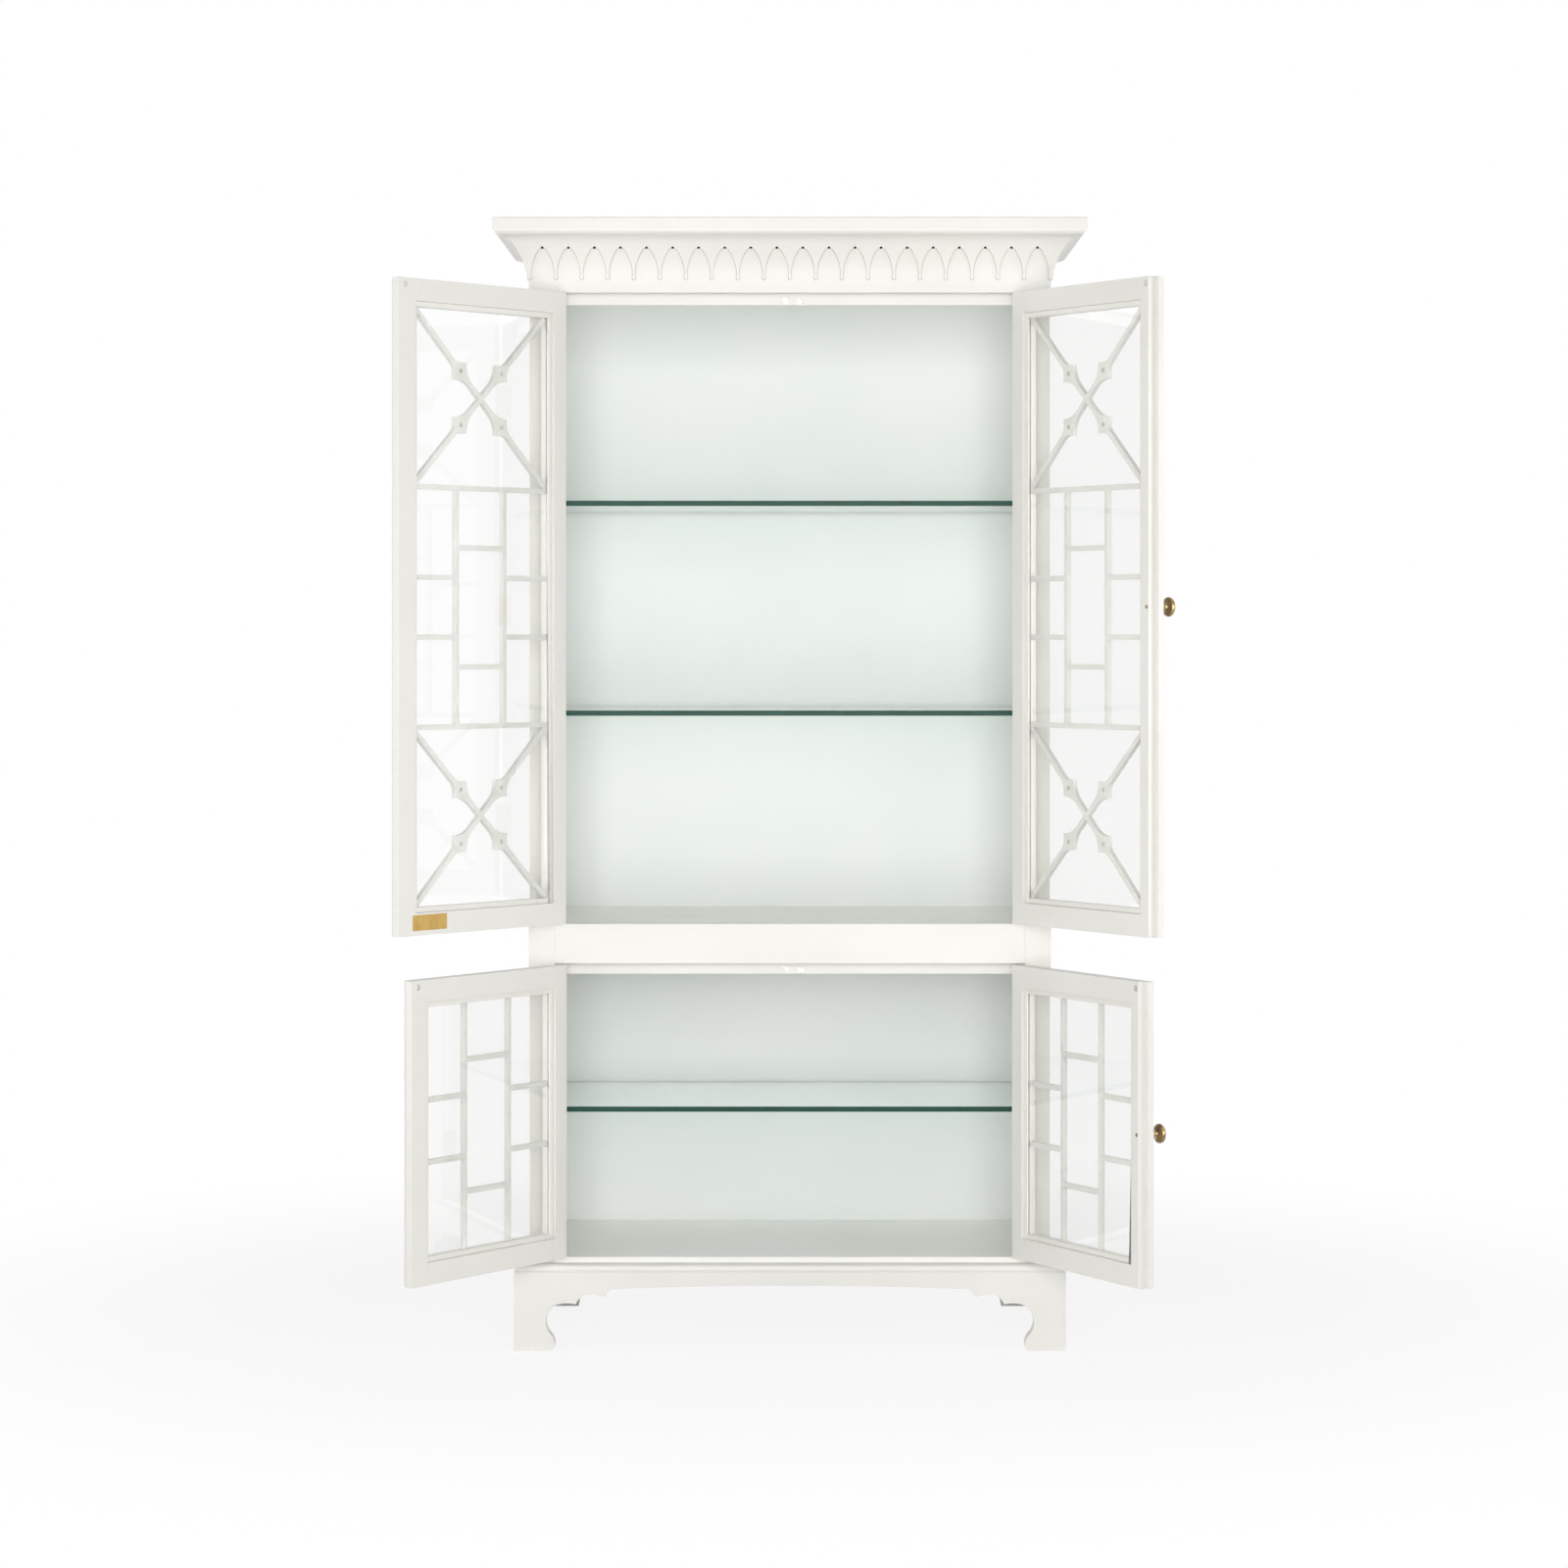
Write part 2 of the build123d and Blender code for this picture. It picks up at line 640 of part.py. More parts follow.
def knuckle(plane_at, hand, foot, index):
    """One knuckle with the tongue that joins it to its leaf."""
    pitch = LEAF_HEIGHT / KNUCKLES
    low = foot + pitch * index + KNUCKLE_GAP / 2
    along = span(hand * HINGE_GAP, hand * (HINGE_GAP + LEAF_THICKNESS))
    with BuildSketch(plane_at(low)) as plan:
        RegularPolygon(KNUCKLE_RADIUS, FITTING_SIDES)
        with Locations((along[0], 0)):
            Rectangle(LEAF_THICKNESS, PIN_OFFSET, align=MIN_CORNER)
        if hand > 0:
            RegularPolygon(TURNING_BORE, FITTING_SIDES, mode=Mode.SUBTRACT)
    extrude(plan.sketch, amount=pitch - KNUCKLE_GAP)


def frame_hinge_leaves():
    """Hinge leaves in the frame, each with its end knuckles and the pin riveted in them."""
    with BuildPart() as leaves:
        for door in DOORS:
            for foot in door.hinge_feet():
                leaf(door.frame_plan, -1, foot)
                for index in range(0, KNUCKLES, 2):
                    knuckle(door.frame_plan, -1, foot, index)
                with BuildSketch(door.frame_plan(foot + KNUCKLE_GAP / 2)) as pin:
                    RegularPolygon(PIN_RADIUS, FITTING_SIDES)
                extrude(pin.sketch, amount=LEAF_HEIGHT - KNUCKLE_GAP)
    save(leaves, "frame_hinge_leaves")


def door_hinge_leaves(door):
    with BuildPart() as leaves:
        for foot in door.hinge_feet():
            leaf(door.plan, 1, foot)
            for index in range(1, KNUCKLES, 2):
                knuckle(door.plan, 1, foot, index)
    save(leaves, f"{door.name}_hinge_leaves")


# ---------------------------------------------------------------- door frames


def cut_rebate(door):
    """Takes the glazing rebate out of a stile or rail from the back."""
    heights = (REBATE_RAIL, door.height - REBATE_RAIL)
    block(door.plan, (REBATE_NEAR, REBATE_FAR), (GLASS_FRONT, BACK_DEPTH), heights, mode=Mode.SUBTRACT)


def rail_tenon(door, edge, hand, rail_foot, fit, mode):
    """A rail's stub tenon beyond the stile edge, or its mortise when fit is a clearance."""
    length, thickness, shoulder = DOOR_TENON
    front = FACE_DEPTH + TENON_SETBACK
    block(
        door.plan,
        span(edge, edge + hand * (length + fit)),
        (front - fit, front + thickness + fit),
        (rail_foot + shoulder - fit, rail_foot + RAIL - shoulder + fit),
        mode=mode,
    )


def rail_feet(door):
    return (0, door.height - RAIL)


def hinge_stile(door):
    with BuildPart() as stile:
        block(door.plan, (HINGE_GAP, SIGHT_NEAR), (FACE_DEPTH, BACK_DEPTH), (0, door.height))
        cut_rebate(door)
        for rail_foot in rail_feet(door):
            rail_tenon(door, SIGHT_NEAR, -1, rail_foot, TENON_FIT, Mode.SUBTRACT)
        for foot in door.hinge_feet():
            leaf(door.plan, 1, foot, mode=Mode.SUBTRACT)
    save(stile, f"{door.name}_hinge_stile")


def meeting_stile(door):
    """The free stile: the left door's back lip passes behind the right door's front lip."""
    whole = (0, door.height)
    with BuildPart() as stile:
        block(door.plan, (SIGHT_FAR, DOOR_END), (FACE_DEPTH, BACK_DEPTH), whole)
        if door.side < 0:
            lip = (DOOR_END, DOOR_END + BACK_LIP_WIDTH)
            block(door.plan, lip, (BACK_DEPTH - BACK_LIP_THICKNESS, BACK_DEPTH), whole)
        else:
            lip = (DOOR_END - FRONT_LIP_WIDTH, DOOR_END)
            behind = (FACE_DEPTH + FRONT_LIP_THICKNESS, BACK_DEPTH)
            block(door.plan, lip, behind, whole, mode=Mode.SUBTRACT)
            with BuildSketch(door.face(FACE_DEPTH)) as hole:
                with Locations((KNOB_ALONG, door.height_of(knob_level(door)))):
                    RegularPolygon(SCREW_HOLE_RADIUS, FITTING_SIDES)
            extrude(hole.sketch, amount=-DOOR_THICKNESS, mode=Mode.SUBTRACT)
        cut_rebate(door)
        for rail_foot in rail_feet(door):
            rail_tenon(door, SIGHT_FAR, 1, rail_foot, TENON_FIT, Mode.SUBTRACT)
    save(stile, f"{door.name}_meeting_stile")


def rails(door):
    with BuildPart() as pair:
        for rail_foot in rail_feet(door):
            heights = (rail_foot, rail_foot + RAIL)
            block(door.plan, (SIGHT_NEAR, SIGHT_FAR), (FACE_DEPTH, BACK_DEPTH), heights)
            rail_tenon(door, SIGHT_NEAR, -1, rail_foot, 0, Mode.ADD)
            rail_tenon(door, SIGHT_FAR, 1, rail_foot, 0, Mode.ADD)
        cut_rebate(door)
    save(pair, f"{door.name}_rails")


# ---------------------------------------------------------------- glazing


def glass(door):
    clear = PANE_CLEARANCE
    with BuildPart() as pane:
        block(
            door.plan,
            (REBATE_NEAR + clear, REBATE_FAR - clear),
            (GLASS_FRONT, GLASS_FRONT + PANE),
            (REBATE_RAIL + clear, door.height - REBATE_RAIL - clear),
        )
    save(pane, f"{door.name}_glass")


def glazing_bead(door):
    """Four mitred strips that hold the pane in its rebate."""
    depth = GLASS_FRONT + PANE
    outer = [(REBATE_NEAR, REBATE_RAIL), (REBATE_FAR, REBATE_RAIL)]
    outer += [(x, door.height - y) for x, y in reversed(outer)]
    inner = [(SIGHT_NEAR, RAIL), (SIGHT_FAR, RAIL)]
    inner += [(x, door.height - y) for x, y in reversed(inner)]
    with BuildPart() as beads:
        for i in range(4):
            j = (i + 1) % 4
            with BuildSketch(door.face(depth)) as strip:
                with BuildLine():
                    Polyline(outer[i], outer[j], inner[j], inner[i], close=True)
                make_face()
                offset(amount=-GLUE_LINE, kind=Kind.INTERSECTION, mode=Mode.REPLACE)
            extrude(strip.sketch, amount=-BEAD_THICKNESS)
    save(beads, f"{door.name}_glazing_bead")


# ---------------------------------------------------------------- lattice


def bars(segments):
    """Lattice bars along the given centre lines."""
    with BuildSketch() as strips:
        for start, end in segments:
            run = Vector(end) - Vector(start)
            middle = (Vector(start) + Vector(end)) / 2
            slope = degrees(atan2(run.Y, run.X))
            with Locations(Location((middle.X, middle.Y), slope)):
                Rectangle(run.length, LATTICE_BAR)
    return strips.sketch


def crossing(a, a_run, b, b_run):
    """Point where the line through a along a_run meets the line through b along b_run."""
    scale = (b - a).cross(b_run).Z / a_run.cross(b_run).Z
    return a + a_run * scale


def flank(corner, direction, edge_point, edge_run, share):
    """One side of a knot: straight from its corner, then swept into the edge of the bar.

    Returns the point where the sweep joins the bar's edge.
    """
    meeting = crossing(corner, direction, edge_point, edge_run)
    sweep = (meeting - corner).length * share
    start = meeting - direction * sweep
    end = meeting + edge_run * sweep
    Line(corner, start)
    TangentArc(start, end, tangent=direction)
    return end


def knot(run):
    """Square knot on a diagonal bar, its two free corners swept into the bar. run points away
    from the crossing of the diagonals, and the knot's middle is the origin."""
    along_x = Vector(1 if run.X > 0 else -1, 0)
    along_y = Vector(0, 1 if run.Y > 0 else -1)
    with BuildSketch() as block_sketch:
        for inner, outer in ((along_x, along_y), (along_y, along_x)):
            corner = (inner - outer) * KNOT_HALF_SIZE
            normal = Vector(-run.Y, run.X)
            edge_point = normal * (LATTICE_BAR / 2)
            if corner.dot(normal) < 0:
                edge_point = -edge_point
            with BuildLine():
                near = flank(corner, -inner, edge_point, -run, INNER_SWEEP)
                far = flank(corner, outer, edge_point, run, OUTER_SWEEP)
                Polyline(near, (0, 0), far)
            make_face()
        Rectangle(KNOT_HOLE, KNOT_HOLE, mode=Mode.SUBTRACT)
    return block_sketch.sketch


def cross_panel(door, low, high):
    """Diagonal cross of the full sight width between two heights, with a knot on each arm."""
    middle = Vector(SIGHT_MIDDLE, (low + high) / 2)
    half = Vector(SIGHT_WIDTH / 2, (high - low) / 2)
    with BuildSketch() as panel:
        for hand in (-1, 1):
            arm = Vector(half.X, half.Y * hand)
            add(bars([(middle - arm, middle + arm)]))
        for hand_x in (-1, 1):
            for hand_y in (-1, 1):
                arm = Vector(half.X * hand_x, half.Y * hand_y)
                place = middle + arm * KNOT_SHARE
                with Locations((place.X, place.Y)):
                    add(knot(arm.normalized()))
                    Rectangle(KNOT_HOLE, KNOT_HOLE, mode=Mode.SUBTRACT)
    return panel.sketch


def upright_places():
    return [SIGHT_MIDDLE + hand * UPRIGHT_SPACING / 2 for hand in (-1, 1)]


def short_bars(middle_height, middle_bar, side_bar):
    """Level bars between and beside the uprights, in pairs above and below the middle."""
    near, far = upright_places()
    segments = []
    for hand in (-1, 1):
        centre_level = middle_height + hand * middle_bar
        side_level = middle_height + hand * side_bar
        segments.append(((near, centre_level), (far, centre_level)))
        segments.append(((SIGHT_NEAR, side_level), (near, side_level)))
        segments.append(((far, side_level), (SIGHT_FAR, side_level)))
    return segments


def upper_lattice(door):
    """A barred band across the middle, and a knotted diagonal cross above and below it."""
    middle = door.height / 2
    band = (middle - BAND_HALF_HEIGHT, middle + BAND_HALF_HEIGHT)
    segments = short_bars(middle, UPPER_MIDDLE_BAR, UPPER_SIDE_BAR)
    segments += [((x, band[0]), (x, band[1])) for x in upright_places()]
    segments += [((SIGHT_NEAR, level), (SIGHT_FAR, level)) for level in band]
    with BuildSketch() as pattern:
        add(bars(segments))
        add(cross_panel(door, RAIL, band[0] - LATTICE_BAR / 2))
        add(cross_panel(door, band[1] + LATTICE_BAR / 2, door.height - RAIL))
    return pattern.sketch


def lower_lattice(door):
    """Two uprights of full height with short bars between and beside them."""
    segments = short_bars(door.height / 2, LOWER_MIDDLE_BAR, LOWER_SIDE_BAR)
    segments += [((x, RAIL), (x, door.height - RAIL)) for x in upright_places()]
    return bars(segments)


def lattice(door, pattern):
    """The fret in front of the glass, trimmed to the frame's sight opening."""
    with BuildPart() as fret:
        with BuildSketch(door.face(LATTICE_FRONT)):
            add(pattern)
            with Locations((SIGHT_NEAR, RAIL)):
                Rectangle(SIGHT_WIDTH, door.height - 2 * RAIL, align=MIN_CORNER, mode=Mode.INTERSECT)
        extrude(amount=-LATTICE_THICKNESS)
    save(fret, f"{door.name}_lattice")


# ---------------------------------------------------------------- door fittings


def catch_level(door):
    return door.top + DOOR_GAP - CATCH_DROP


def strike(door):
    """Round plate on the door's back that meets the catch when the door is shut."""
    catch_x = LEFT_CATCH_X if door.side < 0 else RIGHT_CATCH_X
    place = (PIN_X - door.side * catch_x, door.height_of(catch_level(door)))
    with BuildPart() as plate:
        with BuildSketch(door.face(BACK_DEPTH)):
            with Locations(place):
                RegularPolygon(CATCH_RADIUS, DISC_SIDES)
        extrude(amount=-STRIKE_THICKNESS)
    save(plate, f"{door.name}_strike")


def knob_level(door):
    return UPPER_KNOB_LEVEL if door.bottom > LOWER_HEAD else LOWER_KNOB_LEVEL


def knob(door, label):
    """Turned knob with a domed head, and the screw that holds it from the door's back."""
    seat = door.fitting_plane(KNOB_ALONG, door.height_of(knob_level(door)))
    back = seat.offset(-DOOR_THICKNESS)
    with BuildPart() as fitting:
        with BuildSketch(seat.offset(KNOB_HEAD[0])):
            RegularPolygon(KNOB_HEAD_RADIUS, KNOB_SIDES)
        extrude(amount=KNOB_HEAD[1] - KNOB_HEAD[0])
        flats = fitting.faces().group_by(SortBy.AREA)[-1]
        chamfer(flats.edges(), KNOB_ROUNDING)
        with BuildSketch(seat):
            RegularPolygon(KNOB_NECK_RADIUS, FITTING_SIDES)
        extrude(amount=KNOB_HEAD[0])
        with BuildSketch(seat):
            RegularPolygon(KNOB_BASE[0], KNOB_SIDES)
        extrude(amount=KNOB_BASE[1])
        with BuildSketch(back):
            RegularPolygon(SCREW_RADIUS, FITTING_SIDES)
        extrude(amount=DOOR_THICKNESS - GLUE_LINE)
        with BuildSketch(back):
            RegularPolygon(SCREW_HEAD[0], FITTING_SIDES)
        extrude(amount=-SCREW_HEAD[1])
    save(fitting, label)


def name_plate(door):
    """Bare brass plate on the back of the bottom rail."""
    low, high = (door.height_of(level) for level in PLATE_LEVELS)
    with BuildPart() as plate:
        with BuildSketch(door.face(BACK_DEPTH)):
            with Locations(((PLATE_ALONG[0] + PLATE_ALONG[1]) / 2, (low + high) / 2)):
                Rectangle(PLATE_ALONG[1] - PLATE_ALONG[0], high - low)
        extrude(amount=-PLATE_THICKNESS)
    save(plate, "name_plate")


# ---------------------------------------------------------------- everything

os.makedirs("parts", exist_ok=True)

base_front()
base_sides()
base_rear()
base_moulding()
crown_moulding()
gothic_arcade()
crown_board()
carcass_boards()
side_panels()
back_panel()
face_frame()
door_stops()
shelves()
frame_hinge_leaves()
for leaf_door in DOORS:
    hinge_stile(leaf_door)
    meeting_stile(leaf_door)
    rails(leaf_door)
    glass(leaf_door)
    glazing_bead(leaf_door)
    door_hinge_leaves(leaf_door)
    strike(leaf_door)
for leaf_door in (UPPER_LEFT, UPPER_RIGHT):
    lattice(leaf_door, upper_lattice(leaf_door))
for leaf_door in (LOWER_LEFT, LOWER_RIGHT):
    lattice(leaf_door, lower_lattice(leaf_door))
knob(UPPER_RIGHT, "upper_knob")
knob(LOWER_RIGHT, "lower_knob")
name_plate(UPPER_LEFT)
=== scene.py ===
"""Look of a glazed book cabinet: lacquered carcass, Gothic cornice, fretted glass doors, brass knobs.

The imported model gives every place. +X runs to the right, +Y into the wall and +Z up. Sizes written
in this file are millimetres, and MM turns them into the scene's metres.
"""

import json
import logging
import math
from dataclasses import dataclass
from enum import Enum
from typing import Callable, Iterable, Sequence

import bmesh
import bpy
from mathutils import Matrix, Vector


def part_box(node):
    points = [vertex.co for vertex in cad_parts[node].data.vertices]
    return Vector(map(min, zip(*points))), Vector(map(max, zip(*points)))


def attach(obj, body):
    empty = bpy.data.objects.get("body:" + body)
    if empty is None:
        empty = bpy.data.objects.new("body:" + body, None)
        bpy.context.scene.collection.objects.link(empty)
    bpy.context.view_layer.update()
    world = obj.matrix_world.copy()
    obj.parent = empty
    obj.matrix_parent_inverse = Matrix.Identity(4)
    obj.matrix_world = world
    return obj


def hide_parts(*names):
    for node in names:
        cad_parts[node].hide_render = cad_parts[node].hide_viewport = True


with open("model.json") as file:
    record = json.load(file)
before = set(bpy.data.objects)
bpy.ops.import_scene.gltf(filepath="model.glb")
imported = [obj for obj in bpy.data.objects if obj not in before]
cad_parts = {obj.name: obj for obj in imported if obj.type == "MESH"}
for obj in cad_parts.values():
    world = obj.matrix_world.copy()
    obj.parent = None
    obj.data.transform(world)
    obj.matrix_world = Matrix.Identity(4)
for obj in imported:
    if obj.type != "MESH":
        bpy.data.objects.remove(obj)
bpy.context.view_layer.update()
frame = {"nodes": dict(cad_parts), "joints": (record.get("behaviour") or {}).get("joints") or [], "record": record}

MM = 0.001
Point = tuple[float, float]
Space = tuple[float, float, float]
Mesh = bmesh.types.BMesh
Piece = bpy.types.Object
Tree = bpy.types.NodeTree
Socket = bpy.types.NodeSocket
log = logging.getLogger("book_cabinet")

BODY_OF: dict[str, str] = {
    node: body for body, nodes in frame["record"]["behaviour"]["bodies"].items() for node in nodes
}


# ---------------------------------------------------------------- node and colour helpers


def linear(colour: str) -> tuple[float, float, float, float]:
    """Turns an sRGB hex colour into the linear colour that sockets take.

    Args:
        colour: The colour as "#RRGGBB".

    Returns:
        Linear red, green and blue, and an alpha of 1.
    """
    shares = [int(colour[i : i + 2], 16) / 255 for i in (1, 3, 5)]
    red, green, blue = (s / 12.92 if s <= 0.04045 else ((s + 0.055) / 1.055) ** 2.4 for s in shares)
    return (red, green, blue, 1.0)


def add_node(tree: Tree, kind: str, inputs: dict | None = None, **settings) -> bpy.types.Node:
    """Adds a node with its settings, values and links.

    Args:
        tree: The tree that gets the node.
        kind: The node's type name.
        inputs: Socket name or number to a value, or to the output socket that feeds it.
        **settings: Attributes of the node, such as its operation.

    Returns:
        The new node.
    """
    made = tree.nodes.new(kind)
    for name, value in settings.items():
        setattr(made, name, value)
    for key, value in (inputs or {}).items():
        socket = made.inputs[key]
        if isinstance(value, Socket):
            tree.links.new(value, socket)
        else:
            socket.default_value = value
    return made


def new_material(name: str, shader: Callable[[Tree], Socket]) -> bpy.types.Material:
    """Makes a material.

    Args:
        name: What the surface is made of.
        shader: Adds the surface's nodes to a tree and gives the socket with the shader.

    Returns:
        The new material.
    """
    material = bpy.data.materials.new(name)
    material.use_nodes = True
    tree = material.node_tree
    tree.nodes.clear()
    add_node(tree, "ShaderNodeOutputMaterial", {"Surface": shader(tree)})
    return material


def noise(tree: Tree, size_mm: float, detail: float, stretch: Space | None = None) -> Socket:
    """Height of a noise pattern in the object's own coordinates.

    Args:
        tree: The material's tree.
        size_mm: About how broad its features are.
        detail: How many finer octaves lie on top.
        stretch: Scale of the coordinates along x, y and z, which draws the features out.

    Returns:
        The socket with the height.
    """
    place = add_node(tree, "ShaderNodeTexCoord").outputs["Object"]
    if stretch:
        place = add_node(tree, "ShaderNodeMapping", {"Vector": place, "Scale": stretch}).outputs[0]
    inputs = {"Vector": place, "Scale": 1 / (size_mm * MM), "Detail": detail}
    return add_node(tree, "ShaderNodeTexNoise", inputs).outputs["Fac"]


def ranged(tree: Tree, value: Socket, source: Point, target: Point = (0.0, 1.0), **settings) -> Socket:
    """Socket with a value carried from one range to another and kept inside it."""
    limits = dict(zip(("From Min", "From Max", "To Min", "To Max"), (*source, *target)))
    return add_node(tree, "ShaderNodeMapRange", {"Value": value, **limits}, **settings).outputs["Result"]


def blended(tree: Tree, share: Socket, first: str, second: str) -> Socket:
    """Socket with a colour that goes from the first to the second as the share rises."""
    inputs = {0: share, 6: linear(first), 7: linear(second)}
    return add_node(tree, "ShaderNodeMix", inputs, data_type="RGBA").outputs[2]


def bumped(tree: Tree, height: Socket, strength: float, depth_mm: float) -> Socket:
    """Socket with the normal of a surface whose height varies by depth_mm."""
    inputs = {"Height": height, "Strength": strength, "Distance": depth_mm * MM}
    return add_node(tree, "ShaderNodeBump", inputs).outputs["Normal"]


def either(tree: Tree, share: Socket, first: Socket, second: Socket) -> Socket:
    """Socket with a mix of two shaders, the second where the share is 1."""
    return add_node(tree, "ShaderNodeMixShader", {0: share, 1: first, 2: second}).outputs[0]


def principled(tree: Tree, inputs: dict) -> Socket:
    """Socket with a physically based shader."""
    return add_node(tree, "ShaderNodeBsdfPrincipled", inputs).outputs[0]


def combined(tree: Tree, operation: str, first: Socket, second: Socket) -> Socket:
    """Socket with two values taken together by an operation."""
    return add_node(tree, "ShaderNodeMath", {0: first, 1: second}, operation=operation).outputs[0]


# ---------------------------------------------------------------- finishes


@dataclass(frozen=True)
class SatinLacquer:
    """Sprayed satin lacquer over primer on close-grained hardwood.

    It gives soft, broad highlights, a faint orange-peel skin and an almost even colour that is a
    little thinner and warmer in places.

    Attributes:
        name: The finish as a maker calls it.
        colour: The body colour.
        thin: The colour where the coat is thinner.
        roughness: Middle roughness of a satin coat.
        roughness_spread: How far the roughness strays to either side.
        cloud_mm: Breadth of the uneven passes of the spray gun.
        peel_mm: Spacing of the orange-peel ripples, drawn coarser than the real 1 mm so that
            they show.
        peel_height_mm: Depth of the ripples.
    """

    name: str
    colour: str
    thin: str
    roughness: float = 0.34
    roughness_spread: float = 0.05
    cloud_mm: float = 230.0
    peel_mm: float = 3.0
    peel_height_mm: float = 0.012

    def shader(self, tree: Tree) -> Socket:
        """Adds the coat to a tree.

        Args:
            tree: The material's tree.

        Returns:
            The socket with the shader.
        """
        cloud = noise(tree, self.cloud_mm, 4.0)
        rough = (self.roughness - self.roughness_spread, self.roughness + self.roughness_spread)
        inputs = {
            "Base Color": blended(tree, ranged(tree, cloud, (0.35, 0.7)), self.colour, self.thin),
            "Roughness": ranged(tree, cloud, (0.0, 1.0), rough),
            "IOR": 1.5,
            "Normal": bumped(tree, noise(tree, self.peel_mm, 1.0), 0.5, self.peel_height_mm),
        }
        return principled(tree, inputs)


@dataclass(frozen=True)
class FloatGlass:
    """Clear float glass, fire-polished by its own making: no haze, a slight green cast.

    Lamps shine through it, so that a pane throws no black shadow.

    Attributes:
        name: The glass as a glazier calls it.
        tint: Colour of what is seen through it.
        passed: Colour of the lamplight that comes through.
    """

    name: str
    tint: str
    passed: str

    def shader(self, tree: Tree) -> Socket:
        """Adds the glass to a tree, plain see-through to the lamps.

        Args:
            tree: The material's tree.

        Returns:
            The socket with the shader.
        """
        inputs = {"Base Color": linear(self.tint), "Roughness": 0.0, "IOR": 1.52, "Transmission Weight": 1.0}
        clear = add_node(tree, "ShaderNodeBsdfTransparent", {"Color": linear(self.passed)}).outputs[0]
        shadow = add_node(tree, "ShaderNodeLightPath").outputs["Is Shadow Ray"]
        return either(tree, shadow, principled(tree, inputs), clear)


@dataclass(frozen=True)
class GlassEdge:
    """Fine-ground edge of thick float glass.

    Light that has run the depth of the sheet comes out deep bottle green, with paler streaks
    where the grinding wheel left the edge less clear.

    Attributes:
        name: The edge as a glazier calls it.
        deep: The green of a clear stretch.
        pale: The green of a streak.
        streak_mm: Length of the streaks.
    """

    name: str
    deep: str
    pale: str
    streak_mm: float = 60.0

    def shader(self, tree: Tree) -> Socket:
        """Adds the ground edge to a tree.

        Args:
            tree: The material's tree.

        Returns:
            The socket with the shader.
        """
        streaks = noise(tree, self.streak_mm, 3.0, (1.0, 1.0, 12.0))
        green = blended(tree, ranged(tree, streaks, (0.35, 0.8)), self.deep, self.pale)
        inputs = {"Base Color": green, "Roughness": 0.32, "IOR": 1.52, "Specular IOR Level": 0.15}
        return principled(tree, inputs)


@dataclass(frozen=True)
class WorkedMetal:
    """A metal fitting whose skin has dulled unevenly since it was polished or brushed.

    Attributes:
        name: The metal and how its surface was made.
        bright: Colour where it is rubbed clean.
        dull: Colour where it has darkened.
        roughness: Lowest and highest roughness.
        patch_mm: Size of the darkened patches.
        brush: Stretch of the brush lines along x, y and z. Equal numbers give an unbrushed skin.
        line_mm: Spacing of the brush lines or pits.
        depth_mm: Depth of the lines or pits.
    """

    name: str
    bright: str
    dull: str
    roughness: Point
    patch_mm: float = 9.0
    brush: Space = (1.0, 1.0, 1.0)
    line_mm: float = 0.8
    depth_mm: float = 0.01

    def shader(self, tree: Tree) -> Socket:
        """Adds the dulled metal to a tree.

        Args:
            tree: The material's tree.

        Returns:
            The socket with the shader.
        """
        dulled = ranged(tree, noise(tree, self.patch_mm, 5.0), (0.4, 0.68))
        lines = noise(tree, self.line_mm, 2.0, self.brush)
        inputs = {
            "Base Color": blended(tree, dulled, self.bright, self.dull),
            "Metallic": 1.0,
            "Roughness": ranged(tree, dulled, (0.0, 1.0), self.roughness),
            "Normal": bumped(tree, lines, 0.4, self.depth_mm),
        }
        return principled(tree, inputs)


